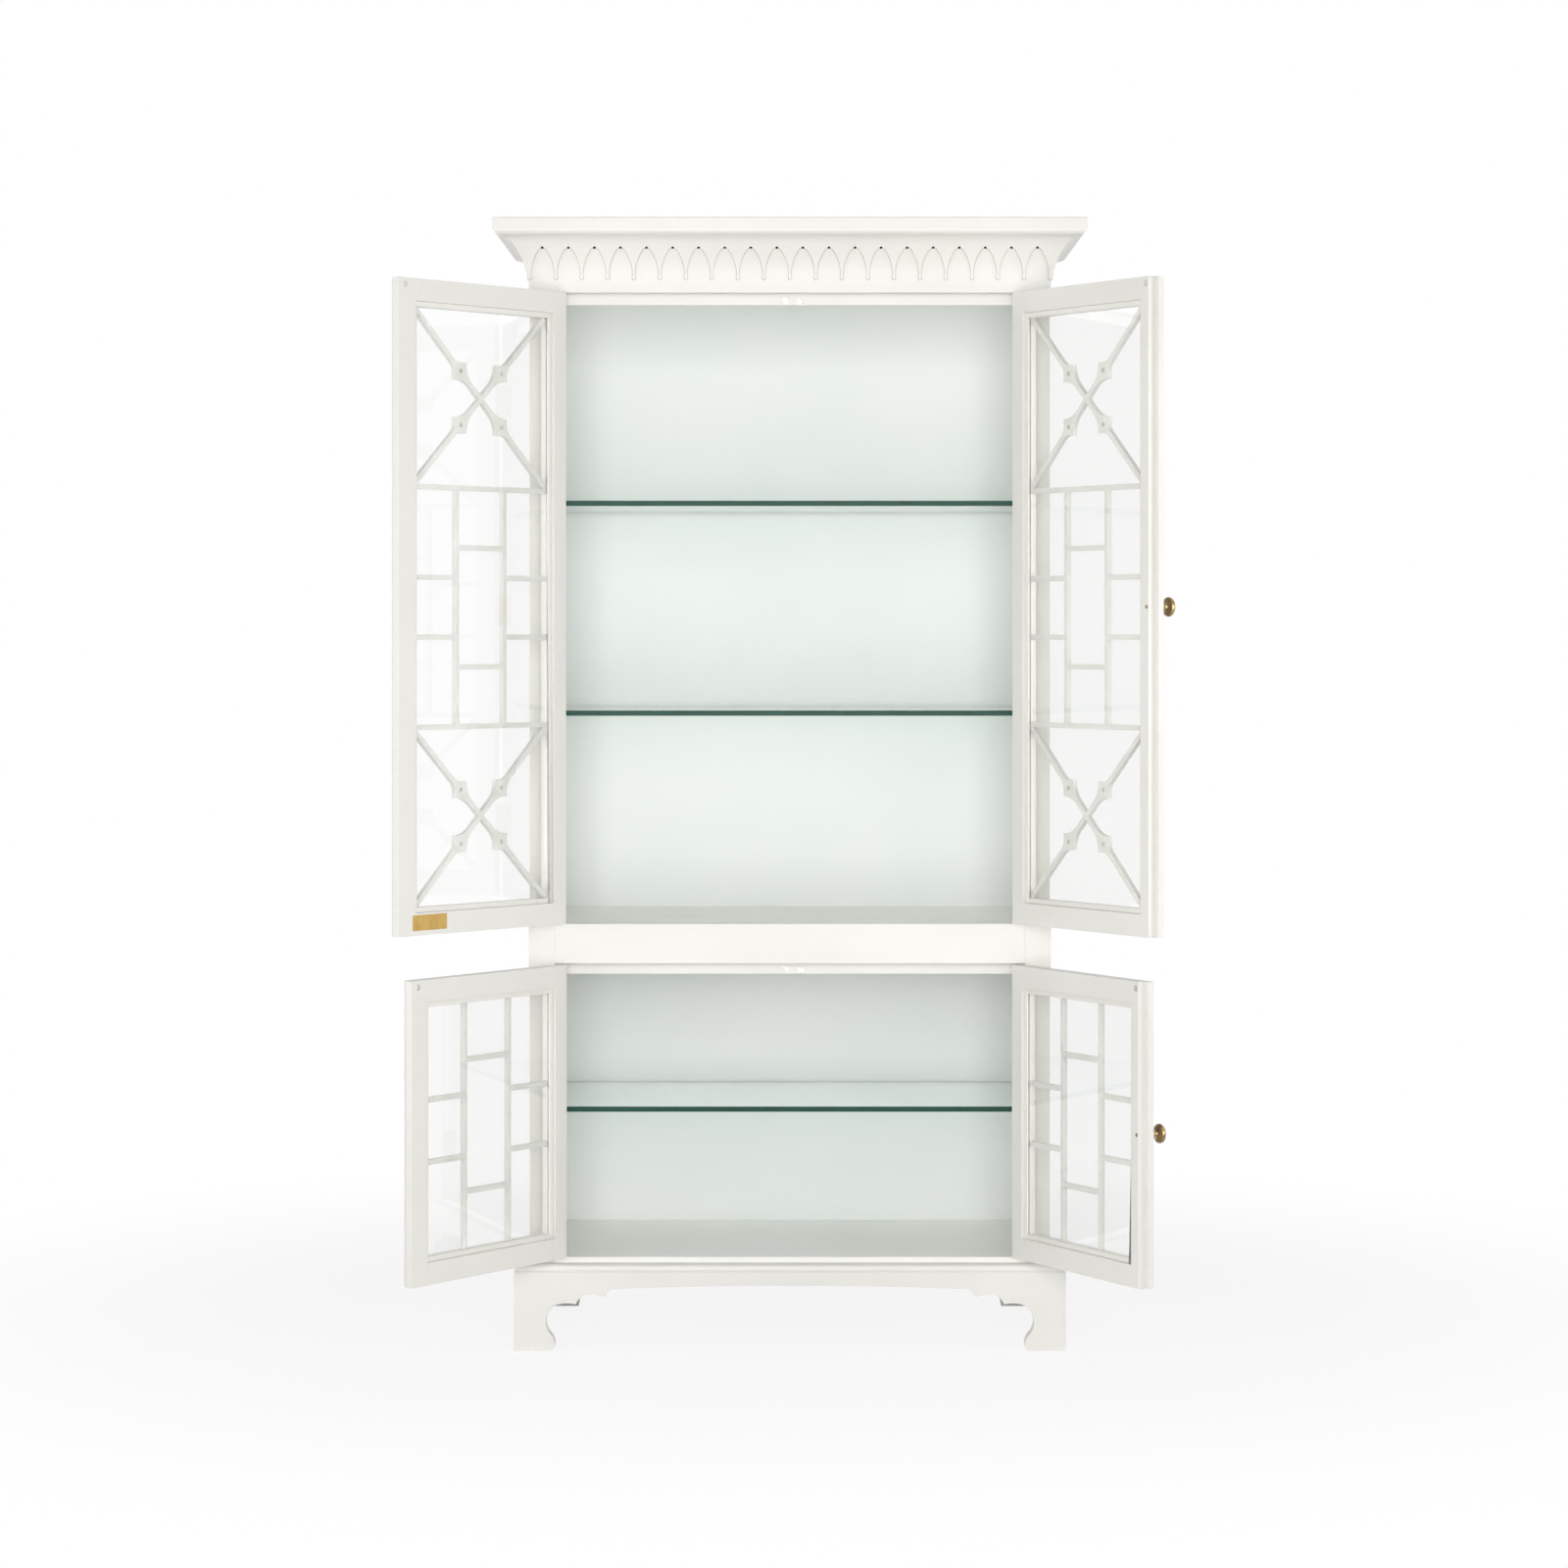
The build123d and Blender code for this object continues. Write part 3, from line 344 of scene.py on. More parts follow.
class Finish(Enum):
    """Every finish on the cabinet, by the record's slot and what it is."""

    # FRONT and CASE are one white lacquer in two copies: FRONT darker, CASE paler, so the difference paints light
    # into the shaded inside of the case.
    FRONT = SatinLacquer("Satin lacquer warm white", "#E7E5E0", "#E4E2DC")
    CASE = SatinLacquer("Satin lacquer case white", "#FAF9F5", "#F7F6F0", roughness=0.24)
    # The back panel's celadon is its own colour, made paler still as painted light in the shaded inside of the
    # case.
    BACK = SatinLacquer("Satin lacquer pale celadon", "#F4F7F5", "#F0F5F2", cloud_mm=420.0)
    # The fret is the doors' white lacquer made darker, as painted shade.
    LATTICE = SatinLacquer("Satin lacquer fret white", "#D9D8D4", "#D2D1CD")
    # Painted shade: a darker lacquer on the fret's rims and side walls, in place of the shade along the fret's
    # edges on the cove.
    GLAZE = SatinLacquer("Umber glaze left in the quirks", "#B8B2A3", "#ABA493", cloud_mm=20.0)
    # Painted shade: a dark lacquer on the walls of the apex holes, deepening the shade inside them.
    DRILLED = SatinLacquer("Umber glaze in the drilled holes", "#5E564A", "#4E473C", cloud_mm=8.0)
    PANE = FloatGlass("Float glass 4 mm", "#FCFDFC", "#D5D5D3")
    SHELF = FloatGlass("Float glass 10 mm", "#EEF7F3", "#EBF5F1")
    SHELF_EDGE = GlassEdge("Ground glass edge", "#103F32", "#1B5244")
    KNOB = WorkedMetal("Aged polished brass", "#B79C6E", "#7C6B55", (0.16, 0.3))
    HINGE = WorkedMetal("Satin brass strip", "#C9AE78", "#A88C58", (0.3, 0.42), brush=(1.0, 1.0, 0.05))
    PLATE = WorkedMetal(
        "Brushed brass sheet", "#CDAC68", "#BE9B56", (0.3, 0.4), patch_mm=25.0, brush=(0.05, 0.05, 1.0)
    )
    STEEL = WorkedMetal("Nickelled steel", "#CFCECA", "#B5B4B0", (0.42, 0.52))

    @property
    def material(self) -> bpy.types.Material:
        """The finish's material, made on first use."""
        made = bpy.data.materials.get(self.value.name)
        return made or new_material(self.value.name, self.value.shader)


# ---------------------------------------------------------------- mesh helpers


SHARP_DEG = 28.0
ROUNDED_DEG = 50.0
COPLANAR_DEG = 0.5
SAME_PLACE = 1e-6
SPECK = 1e-7


def shade(bm: Mesh, limit_deg: float = 25.0) -> None:
    """Shades curved stretches smooth and keeps every bend over limit_deg crisp.

    Args:
        bm: The mesh.
        limit_deg: The greatest bend that is shaded smooth.
    """
    limit = math.radians(limit_deg)
    for face in bm.faces:
        face.smooth = True
    for edge in bm.edges:
        edge.smooth = len(edge.link_faces) == 2 and edge.calc_face_angle(math.pi) < limit


def linked(name: str, data: bpy.types.ID) -> Piece:
    """A new object with its mesh, lamp or camera data, in the scene.

    Args:
        name: The object's name.
        data: What it shows.

    Returns:
        The new object.
    """
    piece = bpy.data.objects.new(name, data)
    bpy.context.scene.collection.objects.link(piece)
    return piece


def finished(name: str, bm: Mesh, *finishes: Finish) -> Piece:
    """Turns a mesh in metres into an object at the origin.

    Args:
        name: The piece's name.
        bm: Its mesh, freed here.
        *finishes: Its finishes, in the order of its faces' material numbers.

    Returns:
        The new object, in the scene.
    """
    mesh = bpy.data.meshes.new(name)
    bm.to_mesh(mesh)
    bm.free()
    for finish in finishes:
        mesh.materials.append(finish.material)
    return linked(name, mesh)


def baked(piece: Piece) -> None:
    """Takes a piece's modifiers into a plain mesh of its own and removes them.

    Args:
        piece: The piece.
    """
    mesh = bpy.data.meshes.new_from_object(piece.evaluated_get(bpy.context.evaluated_depsgraph_get()))
    piece.modifiers.clear()
    used = piece.data
    piece.data = mesh
    bpy.data.meshes.remove(used)


def seat(piece: Piece, node: str) -> None:
    """Puts a piece in the place of a CAD node, its flats shaded flat up to the rounded arrises.

    Args:
        piece: The finished piece.
        node: The CAD node that it stands for, which gives its body.
    """
    weighted = piece.modifiers.new("flats", "WEIGHTED_NORMAL")
    weighted.keep_sharp = True
    baked(piece)
    body = BODY_OF[node]
    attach(piece, body)
    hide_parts(node)
    log.info("%s: %d faces on %s", piece.name, len(piece.data.polygons), body)


def absorb(bm: Mesh, *others: Mesh) -> None:
    """Moves the others' faces into a mesh and frees the others.

    Args:
        bm: The mesh that grows.
        *others: The meshes that go into it.
    """
    for other in others:
        mesh = bpy.data.meshes.new("absorbed")
        other.to_mesh(mesh)
        other.free()
        bm.from_mesh(mesh)
        bpy.data.meshes.remove(mesh)


def shift(x: float = 0.0, y: float = 0.0, z: float = 0.0) -> Matrix:
    """A move by x, y and z in millimetres."""
    return Matrix.Translation((x * MM, y * MM, z * MM))


def moved(bm: Mesh, matrix: Matrix) -> Mesh:
    """Moves a mesh, its faces still outward where the matrix mirrors it.

    Args:
        bm: The mesh, changed in place.
        matrix: The move.

    Returns:
        The same mesh.
    """
    bmesh.ops.transform(bm, matrix=matrix, verts=bm.verts[:])
    if matrix.to_3x3().determinant() < 0:
        bmesh.ops.reverse_faces(bm, faces=bm.faces[:])
    return bm


def soften(bm: Mesh, arris_mm: float) -> None:
    """Rounds every sharp arris of a mesh over a width in millimetres.

    Args:
        bm: The mesh, changed in place.
        arris_mm: The width.
    """
    limit = math.radians(SHARP_DEG)
    sharp = [e for e in bm.edges if len(e.link_faces) == 2 and e.calc_face_angle(0.0) > limit]
    bmesh.ops.bevel(
        bm, geom=sharp, offset=arris_mm * MM, segments=2, profile=0.5, affect="EDGES", clamp_overlap=True
    )
    shade(bm, ROUNDED_DEG)


def merged_copy(node: str) -> Mesh:
    """A CAD node's mesh with its loose triangles joined into whole flat faces.

    Args:
        node: The CAD node.

    Returns:
        The new mesh, in metres.
    """
    bm = bmesh.new()
    bm.from_mesh(frame["nodes"][node].data)
    bmesh.ops.remove_doubles(bm, verts=bm.verts, dist=SAME_PLACE)
    limit = math.radians(COPLANAR_DEG)
    bmesh.ops.dissolve_limit(bm, angle_limit=limit, verts=bm.verts[:], edges=bm.edges[:])
    return bm


def ease(node: str, arris_mm: float, finish: Finish) -> None:
    """Sets a board with its sharp arrises eased by sanding in place of its squared CAD node.

    Args:
        node: The CAD node.
        arris_mm: Width of the eased arris.
        finish: The board's finish.
    """
    bm = merged_copy(node)
    soften(bm, arris_mm)
    seat(finished(f"{node}_eased", bm, finish), node)


def lathe(profile: Sequence[Point], sides: int) -> Mesh:
    """Turns a profile round the z axis.

    Args:
        profile: Radius and height of each point in millimetres, from the foot to the top, both
            ends on the axis.
        sides: Number of facets round the axis.

    Returns:
        A closed mesh.
    """
    bm = bmesh.new()
    rings = []
    for radius, height in ((r * MM, h * MM) for r, h in profile):
        if radius == 0:
            rings.append([bm.verts.new((0, 0, height))])
            continue
        turns = [2 * math.pi * i / sides for i in range(sides)]
        rings.append([bm.verts.new((radius * math.cos(t), radius * math.sin(t), height)) for t in turns])
    for low, high in zip(rings, rings[1:]):
        for i in range(sides):
            j = (i + 1) % sides
            corners = [low[i % len(low)], low[j % len(low)], high[j % len(high)], high[i % len(high)]]
            bm.faces.new(list(dict.fromkeys(corners)))
    bmesh.ops.recalc_face_normals(bm, faces=bm.faces[:])
    return bm


def prism(outline: Sequence[Point], low: float, high: float) -> Mesh:
    """Solid over a flat outline.

    Args:
        outline: Y and z of each corner in millimetres.
        low: Least x.
        high: Greatest x.

    Returns:
        A closed mesh.
    """
    bm = bmesh.new()
    near, far = ([bm.verts.new((x * MM, y * MM, z * MM)) for y, z in outline] for x in (low, high))
    bm.faces.new(near)
    bm.faces.new(far)
    for i in range(len(outline)):
        bm.faces.new((near[i - 1], near[i], far[i], far[i - 1]))
    bmesh.ops.recalc_face_normals(bm, faces=bm.faces[:])
    return bm


def arc(centre: Point, radius: float, start_deg: float, end_deg: float, steps: int) -> list[Point]:
    """Points along a circular arc, both ends included."""
    turns = [math.radians(start_deg + (end_deg - start_deg) * i / steps) for i in range(steps + 1)]
    return [(centre[0] + radius * math.cos(t), centre[1] + radius * math.sin(t)) for t in turns]


def arc_between(centre: Point, start: Point, end: Point, steps: int) -> list[Point]:
    """Points round a centre, anticlockwise from one point of the circle to another."""
    first, last = (math.degrees(math.atan2(p[1] - centre[1], p[0] - centre[0])) for p in (start, end))
    return arc(centre, math.dist(centre, start), first, last, steps)


def away(centre: Point, point: Point) -> Point:
    """Unit direction from a centre to a point."""
    reach = math.dist(centre, point)
    return ((point[0] - centre[0]) / reach, (point[1] - centre[1]) / reach)


def joined(parts: Iterable[Piece]) -> Mesh:
    """One mesh out of several scratch objects, which are removed.

    Args:
        parts: The scratch objects.

    Returns:
        The new mesh.
    """
    bm = bmesh.new()
    for part in parts:
        bm.from_mesh(part.data)
        mesh = part.data
        bpy.data.objects.remove(part)
        bpy.data.meshes.remove(mesh)
    return bm


class Row:
    """Geometry Nodes row: repeats one module at even steps along a straight line."""

    TREE = "even_row"
    WELD = 2e-6

    @classmethod
    def tree(cls) -> Tree:
        """The node tree, made on first use.

        Returns:
            The tree, with a socket for each value of a row.
        """
        made = bpy.data.node_groups.get(cls.TREE)
        if made:
            return made
        tree = bpy.data.node_groups.new(cls.TREE, "GeometryNodeTree")
        kinds = {
            "Module": "Geometry",
            "Count": "Int",
            "Start": "Vector",
            "Step": "Vector",
            "Turn": "Float",
            "Finish": "Material",
        }
        for name, kind in kinds.items():
            tree.interface.new_socket(name, in_out="INPUT", socket_type=f"NodeSocket{kind}")
        tree.interface.new_socket("Row", in_out="OUTPUT", socket_type="NodeSocketGeometry")
        given = add_node(tree, "NodeGroupInput").outputs
        line = add_node(
            tree,
            "GeometryNodeMeshLine",
            {"Count": given["Count"], "Start Location": given["Start"], "Offset": given["Step"]},
            mode="OFFSET",
        )
        turn = add_node(tree, "ShaderNodeCombineXYZ", {"Z": given["Turn"]})
        placed = add_node(
            tree,
            "GeometryNodeInstanceOnPoints",
            {"Points": line.outputs[0], "Instance": given["Module"], "Rotation": turn.outputs[0]},
        )
        real = add_node(tree, "GeometryNodeRealizeInstances", {0: placed.outputs[0]})
        welded = add_node(tree, "GeometryNodeMergeByDistance", {0: real.outputs[0], "Distance": cls.WELD})
        finish = {"Geometry": welded.outputs[0], "Material": given["Finish"]}
        add_node(tree, "NodeGroupOutput", {0: add_node(tree, "GeometryNodeSetMaterial", finish).outputs[0]})
        return tree

    @classmethod
    def of(
        cls, module: Mesh, count: int, start: Space, step: Space, turn_deg: float, finish: Finish
    ) -> Piece:
        """Repeats a module and gives the row as a plain scratch object.

        Args:
            module: One module about its own origin, in metres. It is freed here.
            count: How many there are.
            start: Place of the first in millimetres.
            step: From one to the next in millimetres.
            turn_deg: How far each is turned about z.
            finish: What the row is finished with.

        Returns:
            An object with a plain mesh and no modifier.
        """
        source = finished("module", module, finish)
        modifier = source.modifiers.new(cls.TREE, "NODES")
        modifier.node_group = cls.tree()
        values = {
            "Count": count,
            "Start": [c * MM for c in start],
            "Step": [c * MM for c in step],
            "Turn": math.radians(turn_deg),
            "Finish": finish.material,
        }
        for item in modifier.node_group.interface.items_tree:
            if item.name in values:
                modifier[item.identifier] = values[item.name]
        baked(source)
        return source


# ---------------------------------------------------------------- cornice and base mouldings


@dataclass(frozen=True)
class Body:
    """Outside of the carcass that the mouldings run round."""

    half_width: float = 498.0
    front: float = -520.0

    def stations(self, projection: float) -> list[Point]:
        """Plan of a line that stands projection out from the body, from wall to wall."""
        x, y = self.half_width + projection, self.front - projection
        return [(-x, 0.0), (-x, y), (x, y), (x, 0.0)]


@dataclass(frozen=True)
class Moulding:
    """A moulding of constant section, mitred round the front and both sides."""

    node: str
    section: tuple[Point, ...]
    body: Body = Body()

    def build(self, drills: Sequence[Piece] = ()) -> None:
        """Runs the section round the carcass and closes both ends at the wall.

        Args:
            drills: Scratch solids cut out of the moulding, whose dark finish carries into the cut as painted shade
                in the holes.
        """
        bm = bmesh.new()
        rows = [
            [bm.verts.new((x * MM, y * MM, level * MM)) for x, y in self.body.stations(projection)]
            for projection, level in self.section
        ]
        for row, following in zip(rows, rows[1:] + rows[:1]):
            for i in range(3):
                bm.faces.new((row[i], row[i + 1], following[i + 1], following[i]))
        bm.faces.new([row[0] for row in rows])
        bm.faces.new([row[3] for row in reversed(rows)])
        bmesh.ops.recalc_face_normals(bm, faces=bm.faces[:])
        shade(bm)
        # The cut walls take the drills' dark finish, painted shade in the holes.
        finishes = (Finish.FRONT, Finish.DRILLED) if drills else (Finish.FRONT,)
        piece = finished(f"{self.node}_run", bm, *finishes)
        for drill in drills:
            cut = piece.modifiers.new("drilled", "BOOLEAN")
            cut.object, cut.operation = drill, "DIFFERENCE"
            cut.solver, cut.material_mode = "EXACT", "TRANSFER"
        if drills:
            baked(piece)
            joined(drills).free()
        seat(piece, self.node)


@dataclass(frozen=True)
class Cove:
    """Hollow of the cornice in two arcs, a slow one below and a quick one at the lip."""

    foot: float = 2030.0
    lip: float = 2121.0
    projection: float = 55.0
    slow_radius: float = 129.1
    quick_radius: float = 38.0

    @property
    def join_deg(self) -> float:
        """Turn at which the two arcs meet."""
        rise = self.lip - self.quick_radius - self.foot
        return math.degrees(math.atan2(rise, self.slow_radius - self.projection))

    def point(self, turn_deg: float, proud: float = 0.0) -> Point:
        """Projection and level at a turn of 0 at the foot to 90 at the lip, proud of the hollow.

        Args:
            turn_deg: The turn.
            proud: How far the point stands off the hollow.

        Returns:
            The projection and the level.
        """
        turn = math.radians(turn_deg)
        if turn_deg > self.join_deg:
            reach = self.quick_radius - proud
            centre = (self.projection, self.lip - self.quick_radius)
        else:
            reach = self.slow_radius - proud
            centre = (self.slow_radius, self.foot)
        return (centre[0] - reach * math.cos(turn), centre[1] + reach * math.sin(turn))

    def projection_at(self, level: float, proud: float = 0.0) -> float:
        """Projection of the slow arc's surface at a level, proud of the hollow."""
        reach = self.slow_radius - proud
        return self.slow_radius - math.sqrt(reach**2 - (level - self.foot) ** 2)


@dataclass(frozen=True)
class GothicArcade:
    """Pierced overlay on the cove: lancet arches between round drops, with a drilled hole at each apex.

    One module is a drop with half an arch at either hand. Geometry Nodes rows repeat it along
    the front and the sides, and a mitred post with its own drop stands at each corner.
    """

    cove: Cove = Cove()
    body: Body = Body()
    pitch: float = 49.6
    corner_inset: float = 2.0
    front_bays: int = 20
    side_drops: int = 10
    thickness: float = 3.0
    lip_thickness: float = 0.6
    glue: float = 0.1
    rounding: float = 0.9
    drop_radius: float = 4.1
    drop_level: float = 2042.3
    drop_top_deg: float = 42.0
    haunch: Point = (18.6, 2070.0)
    shoulder: Point = (6.5, 2094.0)
    hole_radius: float = 2.5
    hole_level: float = 2098.0
    hole_entry_deg: float = -14.0
    drill_depth: float = 9.0
    drill_clearance: float = 6.0
    weld: float = 0.005
    sharp_deg: float = 35.0
    # Faces above this level, toward the cove's lip, get no painted shade.
    rim_shade_top: float = 2098.2
    flat_cosine: float = 0.97
    columns: tuple[float, ...] = (-1.0, -0.5, 0.0, 0.5, 1.0)

    def outline(self) -> list[tuple[Point, Point]]:
        """Right-hand edge of a drop from its foot up to the top of the hole at the apex.

        Returns:
            Pairs of a point on the edge and the edge's outward normal.
        """
        half = self.pitch / 2
        foot, apex = (0.0, self.drop_level), (0.0, self.hole_level)
        drop = arc(foot, self.drop_radius, -90, self.drop_top_deg, 12)
        start = (half - drop[-1][0], drop[-1][1])
        centre = circle_centre(start, self.haunch, self.shoulder)
        side = arc_between(centre, start, self.shoulder, 12)[1:]
        hole = arc(apex, self.hole_radius, self.hole_entry_deg, 90, 6)
        edge = [(point, away(foot, point)) for point in drop]
        for middle, points in ((centre, side), (apex, hole)):
            for x, z in points:
                normal = away(middle, (x, z))
                edge.append(((half - x, z), (normal[0], -normal[1])))
        return edge

    def rows(self) -> list[tuple[list[Space], list[Space], bool]]:
        """Points of one module, row by row from the foot to the lip.

        Returns:
            For each row the across, projection and level of the points on its face and on its
            back, and whether its sides are free edges.
        """
        spread = (-1.0, *self.columns, 1.0)
        rows = []
        for edge, normal in self.outline():
            x, z = edge
            inner = max(x - self.rounding * abs(normal[0]), 0.0)
            level = z - self.rounding * normal[1]
            face = self.cove.projection_at(level, self.thickness)
            sunk = self.cove.projection_at(z, self.thickness) - self.rounding
            back = self.cove.projection_at(z, self.glue)
            flat = [(inner * c, face, level) for c in self.columns]
            behind = [(x * c, back, z) for c in spread]
            rows.append(([(-x, sunk, z), *flat, (x, sunk, z)], behind, True))
        half = self.pitch / 2
        turns = [self.cove.join_deg + (90 - self.cove.join_deg) * i / 7 for i in range(8)]
        for turn in turns:
            paring = ((turn - turns[0]) / (turns[-1] - turns[0])) ** 2
            proud = self.thickness + (self.lip_thickness - self.thickness) * paring
            surfaces = (self.cove.point(turn, proud), self.cove.point(turn, self.glue))
            front, behind = ([(half * c, *surface) for c in spread] for surface in surfaces)
            rows.append((front, behind, False))
        return rows

    def shell(self, rows: Sequence[tuple[list[Space], list[Space], bool]], left: bool) -> Mesh:
        """Closes rows of face and back points into a shell.

        Args:
            rows: The rows from the foot to the lip.
            left: Whether the left-hand sides are free edges too.

        Returns:
            The shell in metres, facing -Y, its projection measured from y = 0.
        """
        bm = bmesh.new()
        grid = [
            [[bm.verts.new((x * MM, -p * MM, z * MM)) for x, p, z in line] for line in (front, behind)]
            for front, behind, _ in rows
        ]
        for (low, high), (_, _, free) in zip(zip(grid, grid[1:]), rows[1:]):
            for i in range(len(low[0]) - 1):
                bm.faces.new((low[0][i], low[0][i + 1], high[0][i + 1], high[0][i]))
                bm.faces.new((low[1][i + 1], low[1][i], high[1][i], high[1][i + 1]))
            if free:
                bm.faces.new((low[0][-1], low[1][-1], high[1][-1], high[0][-1]))
                if left:
                    bm.faces.new((low[1][0], low[0][0], high[0][0], high[1][0]))
        for (front, behind), turned in ((grid[0], True), (grid[-1], False)):
            for i in range(len(front) - 1):
                corners = (front[i], behind[i], behind[i + 1], front[i + 1])
                bm.faces.new(corners if turned else corners[::-1])
        bmesh.ops.remove_doubles(bm, verts=bm.verts[:], dist=SPECK)
        bmesh.ops.dissolve_degenerate(bm, dist=SPECK, edges=bm.edges[:])
        return bm

    def drills(self) -> list[Piece]:
        """Scratch solids of the holes at the apexes, square to the cove.

        Returns:
            A row for the front and one for each side.
        """
        lean = math.asin((self.hole_level - self.cove.foot) / self.cove.slow_radius)
        place = shift(self.pitch / 2, -self.cove.projection_at(self.hole_level), self.hole_level)
        tilt = Matrix.Rotation(math.pi / 2 + lean, 4, "X")
        half, front, step, inset = self.body.half_width, self.body.front, self.pitch, self.corner_inset
        profile = [(0.0, -self.drill_depth), (self.hole_radius, -self.drill_depth)]
        profile += [(self.hole_radius, self.drill_clearance), (0.0, self.drill_clearance)]
        rows = []
        for start, run, count, turn in (
            ((-half + inset, front, 0.0), (step, 0, 0), self.front_bays, 0),
            ((-half, front + inset + step, 0.0), (0, step, 0), self.side_drops, -90),
            ((half, front + inset, 0.0), (0, step, 0), self.side_drops, 90),
        ):
            drill = moved(lathe(profile, 20), place @ tilt)
            # Each drill carries the dark finish that paints shade into its hole.
            rows.append(Row.of(drill, count, start, run, turn, Finish.DRILLED))
        return rows

    def paint_shade(self, bm: Mesh) -> None:
        """Gives the rounded rims and side walls of the fretwork a darker lacquer, painted shade where the fret
        stands off the cove.

        Args:
            bm: The overlay in metres.
        """
        bm.normal_update()
        for face in bm.faces:
            level = face.calc_center_median().z / MM
            if level > self.rim_shade_top:
                continue
            sine = min((level - self.cove.foot) / self.cove.slow_radius, 1.0)
            cosine = math.sqrt(1 - sine**2)
            out = max(abs(face.normal.x), abs(face.normal.y)) * cosine - face.normal.z * sine
            # Faces square to the cove keep the white lacquer, and rims and side walls get the painted shade.
            face.material_index = 0 if abs(out) > self.flat_cosine else 1

    def corner(self) -> Mesh:
        """Both halves of the left-hand corner post, about the body's corner, meeting at the mitre.

        Returns:
            The post in metres.
        """
        rows = []
        middle = len(self.columns) // 2 + 1
        for *lines, free in self.rows():
            mitred = []
            for line in lines:
                _, out, level = line[middle]
                mitred.append([(-self.corner_inset - out, out, level), *line[middle:]])
            rows.append((*mitred, free))
        bm = self.shell(rows, left=False)
        moved(bm, shift(self.corner_inset))
        swap = Matrix(((0, 1, 0, 0), (1, 0, 0, 0), (0, 0, 1, 0), (0, 0, 0, 1)))
        absorb(bm, moved(bm.copy(), swap))
        return bm

    def build(self) -> None:
        """Sets the rows and corner posts on the cove."""
        half, front, step, inset = self.body.half_width, self.body.front, self.pitch, self.corner_inset
        module = self.shell(self.rows(), left=True)
        first = (-half + inset + step, front, 0.0)
        parts = [Row.of(module, self.front_bays - 1, first, (step, 0, 0), 0, Finish.FRONT)]
        for side in (-1, 1):
            module = self.shell(self.rows(), left=True)
            first = (side * half, front + inset + step, 0.0)
            parts.append(Row.of(module, self.side_drops, first, (0, step, 0), side * 90, Finish.FRONT))
            post = moved(self.corner(), shift(side * half, front) @ Matrix.Diagonal((-side, 1, 1, 1)))
            parts.append(finished("post", post, Finish.FRONT))
        bm = joined(parts)
        bmesh.ops.remove_doubles(bm, verts=bm.verts[:], dist=self.weld * MM)
        cut = bmesh.ops.bisect_plane(
            bm,
            geom=bm.verts[:] + bm.edges[:] + bm.faces[:],
            plane_co=(0, 0, 0),
            plane_no=(0, 1, 0),
            clear_outer=True,
        )
        ends = [e for e in cut["geom_cut"] if isinstance(e, bmesh.types.BMEdge)]
        bmesh.ops.holes_fill(bm, edges=ends, sides=0)
        between = [f for f in bm.faces if any(e.is_boundary for e in f.edges)]
        bmesh.ops.delete(bm, geom=between, context="FACES")
        log.info("arcade_overlay: %d faces shut in between modules removed", len(between))
        shade(bm, self.sharp_deg)
        self.paint_shade(bm)
        piece = finished("arcade_overlay", bm, Finish.FRONT, Finish.GLAZE)
        seat(piece, "gothic_arcade")


def circle_centre(a: Point, b: Point, c: Point) -> Point:
    """Centre of the circle through three points.

    Args:
        a: A point on the circle.
        b: A second point.
        c: A third point.

    Returns:
        The centre.
    """
    ax, ay, bx, by, cx, cy = *a, *b, *c
    d = 2 * (ax * (by - cy) + bx * (cy - ay) + cx * (ay - by))
    sq = (ax**2 + ay**2, bx**2 + by**2, cx**2 + cy**2)
    x = (sq[0] * (by - cy) + sq[1] * (cy - ay) + sq[2] * (ay - by)) / d
    y = (sq[0] * (cx - bx) + sq[1] * (ax - cx) + sq[2] * (bx - ax)) / d
    return (x, y)


@dataclass(frozen=True)
class Cornice:
    """Crown board, cove with its bead, and the Gothic arcade on the cove."""

    cove: Cove = Cove()
    bead_projection: float = 63.0
    quirk: float = 1.5
    bead_radius: float = 9.5
    top: float = 2131.0
    arris: float = 0.6

    def section(self) -> tuple[Point, ...]:
        """Section of the crown moulding, from the cove's foot round to the body.

        Returns:
            Projection and level of each point.
        """
        turns = [self.cove.join_deg * i / 14 for i in range(15)]
        turns += [self.cove.join_deg + (90 - self.cove.join_deg) * i / 10 for i in range(1, 11)]
        hollow = [self.cove.point(turn) for turn in turns]
        start = (self.cove.projection + self.quirk, self.cove.lip)
        end = (self.bead_projection, self.top)
        chord = (end[0] - start[0], end[1] - start[1])
        length = math.hypot(*chord)
        sagitta = math.sqrt(self.bead_radius**2 - (length / 2) ** 2)
        centre = (
            (start[0] + end[0]) / 2 - chord[1] / length * sagitta,
            (start[1] + end[1]) / 2 + chord[0] / length * sagitta,
        )
        return (*hollow, *arc_between(centre, start, end, 8), (0.0, self.top))

    def build(self) -> None:
        """Makes the cornice's three pieces."""
        arcade = GothicArcade(self.cove)
        Moulding("crown_moulding", self.section()).build(arcade.drills())
        arcade.build()
        ease("crown_board", self.arris, Finish.FRONT)


